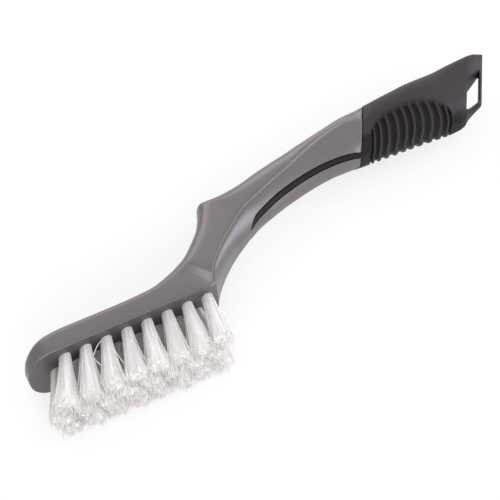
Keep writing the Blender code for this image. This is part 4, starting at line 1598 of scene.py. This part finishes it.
    def add_bodies(self, row: Row, mesh: Mesh) -> None:
        """Add each tuft's packed inner filaments, and the near row's strays.

        Args:
            row: The row.
            mesh: The row's mesh, which they are added to.
        """
        form = bmesh.new()
        form.from_mesh(mesh)
        bodies = [self.heart_rings(row, index) for index in range(self.count)]
        if row is Row.NEAR:
            bodies += [self.stray_rings(*ends) for ends in self.strays]
        for rings in bodies:
            body = loft("packed_filaments", rings)
            form.from_mesh(body.data)
            bpy.data.objects.remove(body, do_unlink=True)
        form.to_mesh(mesh)
        form.free()

    def build(self, nylon: Material) -> None:
        """Grow the three rows and turn each into a plain mesh.

        Args:
            nylon: The filaments' material.
        """
        tree = self.tree(nylon)
        sockets = {item.name: item.identifier for item in tree.interface.items_tree
                   if item.item_type == "SOCKET" and item.in_out == "INPUT"}
        for number, row in enumerate(Row):
            piece = self.seat_mesh(row)
            grow = piece.modifiers.new("grow", "NODES")
            grow.node_group = tree
            grow[sockets["Seed"]] = self.seed + self.seed_step * number
            graph = bpy.context.evaluated_depsgraph_get()
            mesh = bpy.data.meshes.new_from_object(piece.evaluated_get(graph))
            piece.modifiers.clear()
            piece.data = mesh
            self.add_bodies(row, mesh)
            nodes = [f"tuft_{row.label}_{index + 1}" for index in range(self.count)]
            dress(piece, nylon, nodes)


@dataclass
class Anchors:
    """The wire staples in the tufts' holes. The part's own solids stay, and only get their steel."""

    prefix: str = "anchor_"

    def build(self, steel: Material) -> None:
        """Give every staple its material.

        Args:
            steel: The drawn wire.
        """
        for name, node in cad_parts.items():
            if name.startswith(self.prefix):
                node.data.materials.clear()
                node.data.materials.append(steel)
                log.info("%s: %s", name, steel.name)


@dataclass(frozen=True)
class Lamp:
    """A square soft light: where it hangs and how wide it is, in metres, its power in watts, and its colour."""

    name: str
    place: tuple[float, float, float]
    side: float
    power: float
    colour: str = "#ffffff"

    def build(self, aim: tuple[float, float, float]) -> None:
        """Hang the light.

        Args:
            aim: The point it faces, in metres.
        """
        data = bpy.data.lights.new(self.name, "AREA")
        data.color = linear(self.colour)[:3]
        data.shape = "SQUARE"
        data.size = self.side
        data.energy = self.power
        lamp = add_object(self.name, data)
        lamp.location = self.place
        lamp.rotation_mode = "QUATERNION"
        lamp.rotation_quaternion = (Vector(aim) - Vector(self.place)).to_track_quat("-Z", "Y")


@dataclass
class Studio:
    """The pale floor, the soft lights and the camera."""

    lens: float = 115.2
    sensor: float = 36.0
    clip: tuple[float, float] = (0.01, 20.0)
    camera_at: tuple[float, float, float] = (-127.4, -364.0, 587.1)
    azimuth: float = -27.46
    elevation: float = 53.3
    floor_reach: float = 3.0
    floor_colour: str = "#fbfbfb"
    backdrop_share: float = 0.72
    sky: float = 0.72
    aim: tuple[float, float, float] = (0.08, 0.03, 0.0)
    lamps: tuple[Lamp, ...] = (Lamp("top", (0.2, 0.1, 1.25), 1.0, 0.4),
                               Lamp("back", (0.1, 0.87, 0.52), 0.7, 3.6),
                               Lamp("side", (0.9, -0.2, 0.2), 0.7, 6.4, "#e2ecff"),
                               Lamp("front", (-0.25, -1.0, 0.45), 0.8, 8.0))

    def camera(self) -> None:
        """A camera at the photograph's viewing angle."""
        data = bpy.data.cameras.new("camera")
        data.lens = self.lens
        data.sensor_width = self.sensor
        data.clip_start, data.clip_end = self.clip
        camera = add_object("camera", data)
        turn, tilt = math.radians(self.azimuth), math.radians(self.elevation)
        back = Vector((math.sin(turn) * math.cos(tilt), -math.cos(turn) * math.cos(tilt), math.sin(tilt)))
        camera.location = Vector(self.camera_at) * MM
        camera.rotation_mode = "QUATERNION"
        camera.rotation_quaternion = (-back).to_track_quat("-Z", "Y")
        bpy.context.scene.camera = camera

    def seen(self, tree: NodeTree) -> Node:
        """Tell rays that look at the surround, straight or in a shiny or clear surface, from its light.

        Args:
            tree: The tree to add to.

        Returns:
            A node that gives one for such a ray, and zero for light.
        """
        path = add_node(tree, "ShaderNodeLightPath").outputs
        shiny = add_node(tree, "ShaderNodeMath", {0: path["Is Camera Ray"], 1: path["Is Glossy Ray"]},
                         operation="MAXIMUM")
        return add_node(tree, "ShaderNodeMath", {0: shiny, 1: path["Is Transmission Ray"]}, operation="MAXIMUM")

    def floor(self) -> None:
        """A wide matte white floor at the height that the brush lies on."""
        mesh = bpy.data.meshes.new("floor")
        far = self.floor_reach
        mesh.from_pydata([(-far, -far, 0), (far, -far, 0), (far, far, 0), (-far, far, 0)], [], [(0, 1, 2, 3)])
        floor = add_object("floor", mesh)
        material, tree, shader = start_material("white_paper")
        shader.inputs["Base Color"].default_value = linear(self.floor_colour)
        shader.inputs["Roughness"].default_value = 1.0
        shader.inputs["Specular IOR Level"].default_value = 0.0
        white = add_node(tree, "ShaderNodeEmission", {"Color": WHITE, "Strength": 1.0})
        share = add_node(tree, "ShaderNodeMath", {0: self.seen(tree), 1: self.backdrop_share},
                         operation="MULTIPLY")
        paper = add_node(tree, "ShaderNodeMixShader", {0: share, 1: shader, 2: white})
        tree.links.new(paper.outputs[0], tree.nodes["Material Output"].inputs["Surface"])
        mesh.materials.append(material)

    def sky_light(self) -> None:
        """An even white surround: full white where the camera sees it, softer as light."""
        world = bpy.data.worlds.new("surround")
        bpy.context.scene.world = world
        world.use_nodes = True
        tree = world.node_tree
        tree.nodes.clear()
        lit = add_node(tree, "ShaderNodeBackground", {"Color": WHITE, "Strength": self.sky})
        white = add_node(tree, "ShaderNodeBackground", {"Color": WHITE, "Strength": 1.0})
        mix = add_node(tree, "ShaderNodeMixShader", {0: self.seen(tree), 1: lit, 2: white})
        add_node(tree, "ShaderNodeOutputWorld", {"Surface": mix})

    def build(self) -> None:
        """Set the stage."""
        bpy.context.scene.view_settings.view_transform = "Standard"
        self.camera()
        self.floor()
        self.sky_light()
        for lamp in self.lamps:
            lamp.build(self.aim)
        log.info("stage: camera, floor and %d lights", len(self.lamps))


def main() -> None:
    """Build the brush's pieces in order, from the moulding to the tufts."""
    form = HandleForm()
    tufts = Tufts(form)
    grey, black = MouldedAbs().build(), SoftRubber().build()
    nylon, steel = NylonFilament().build(), DrawnWire().build()
    Studio().build()
    Handle(form).build(tufts, grey, black)
    Grip(form).build(black)
    tufts.build(nylon)
    Anchors().build(steel)


if __name__ == "__main__":
    main()
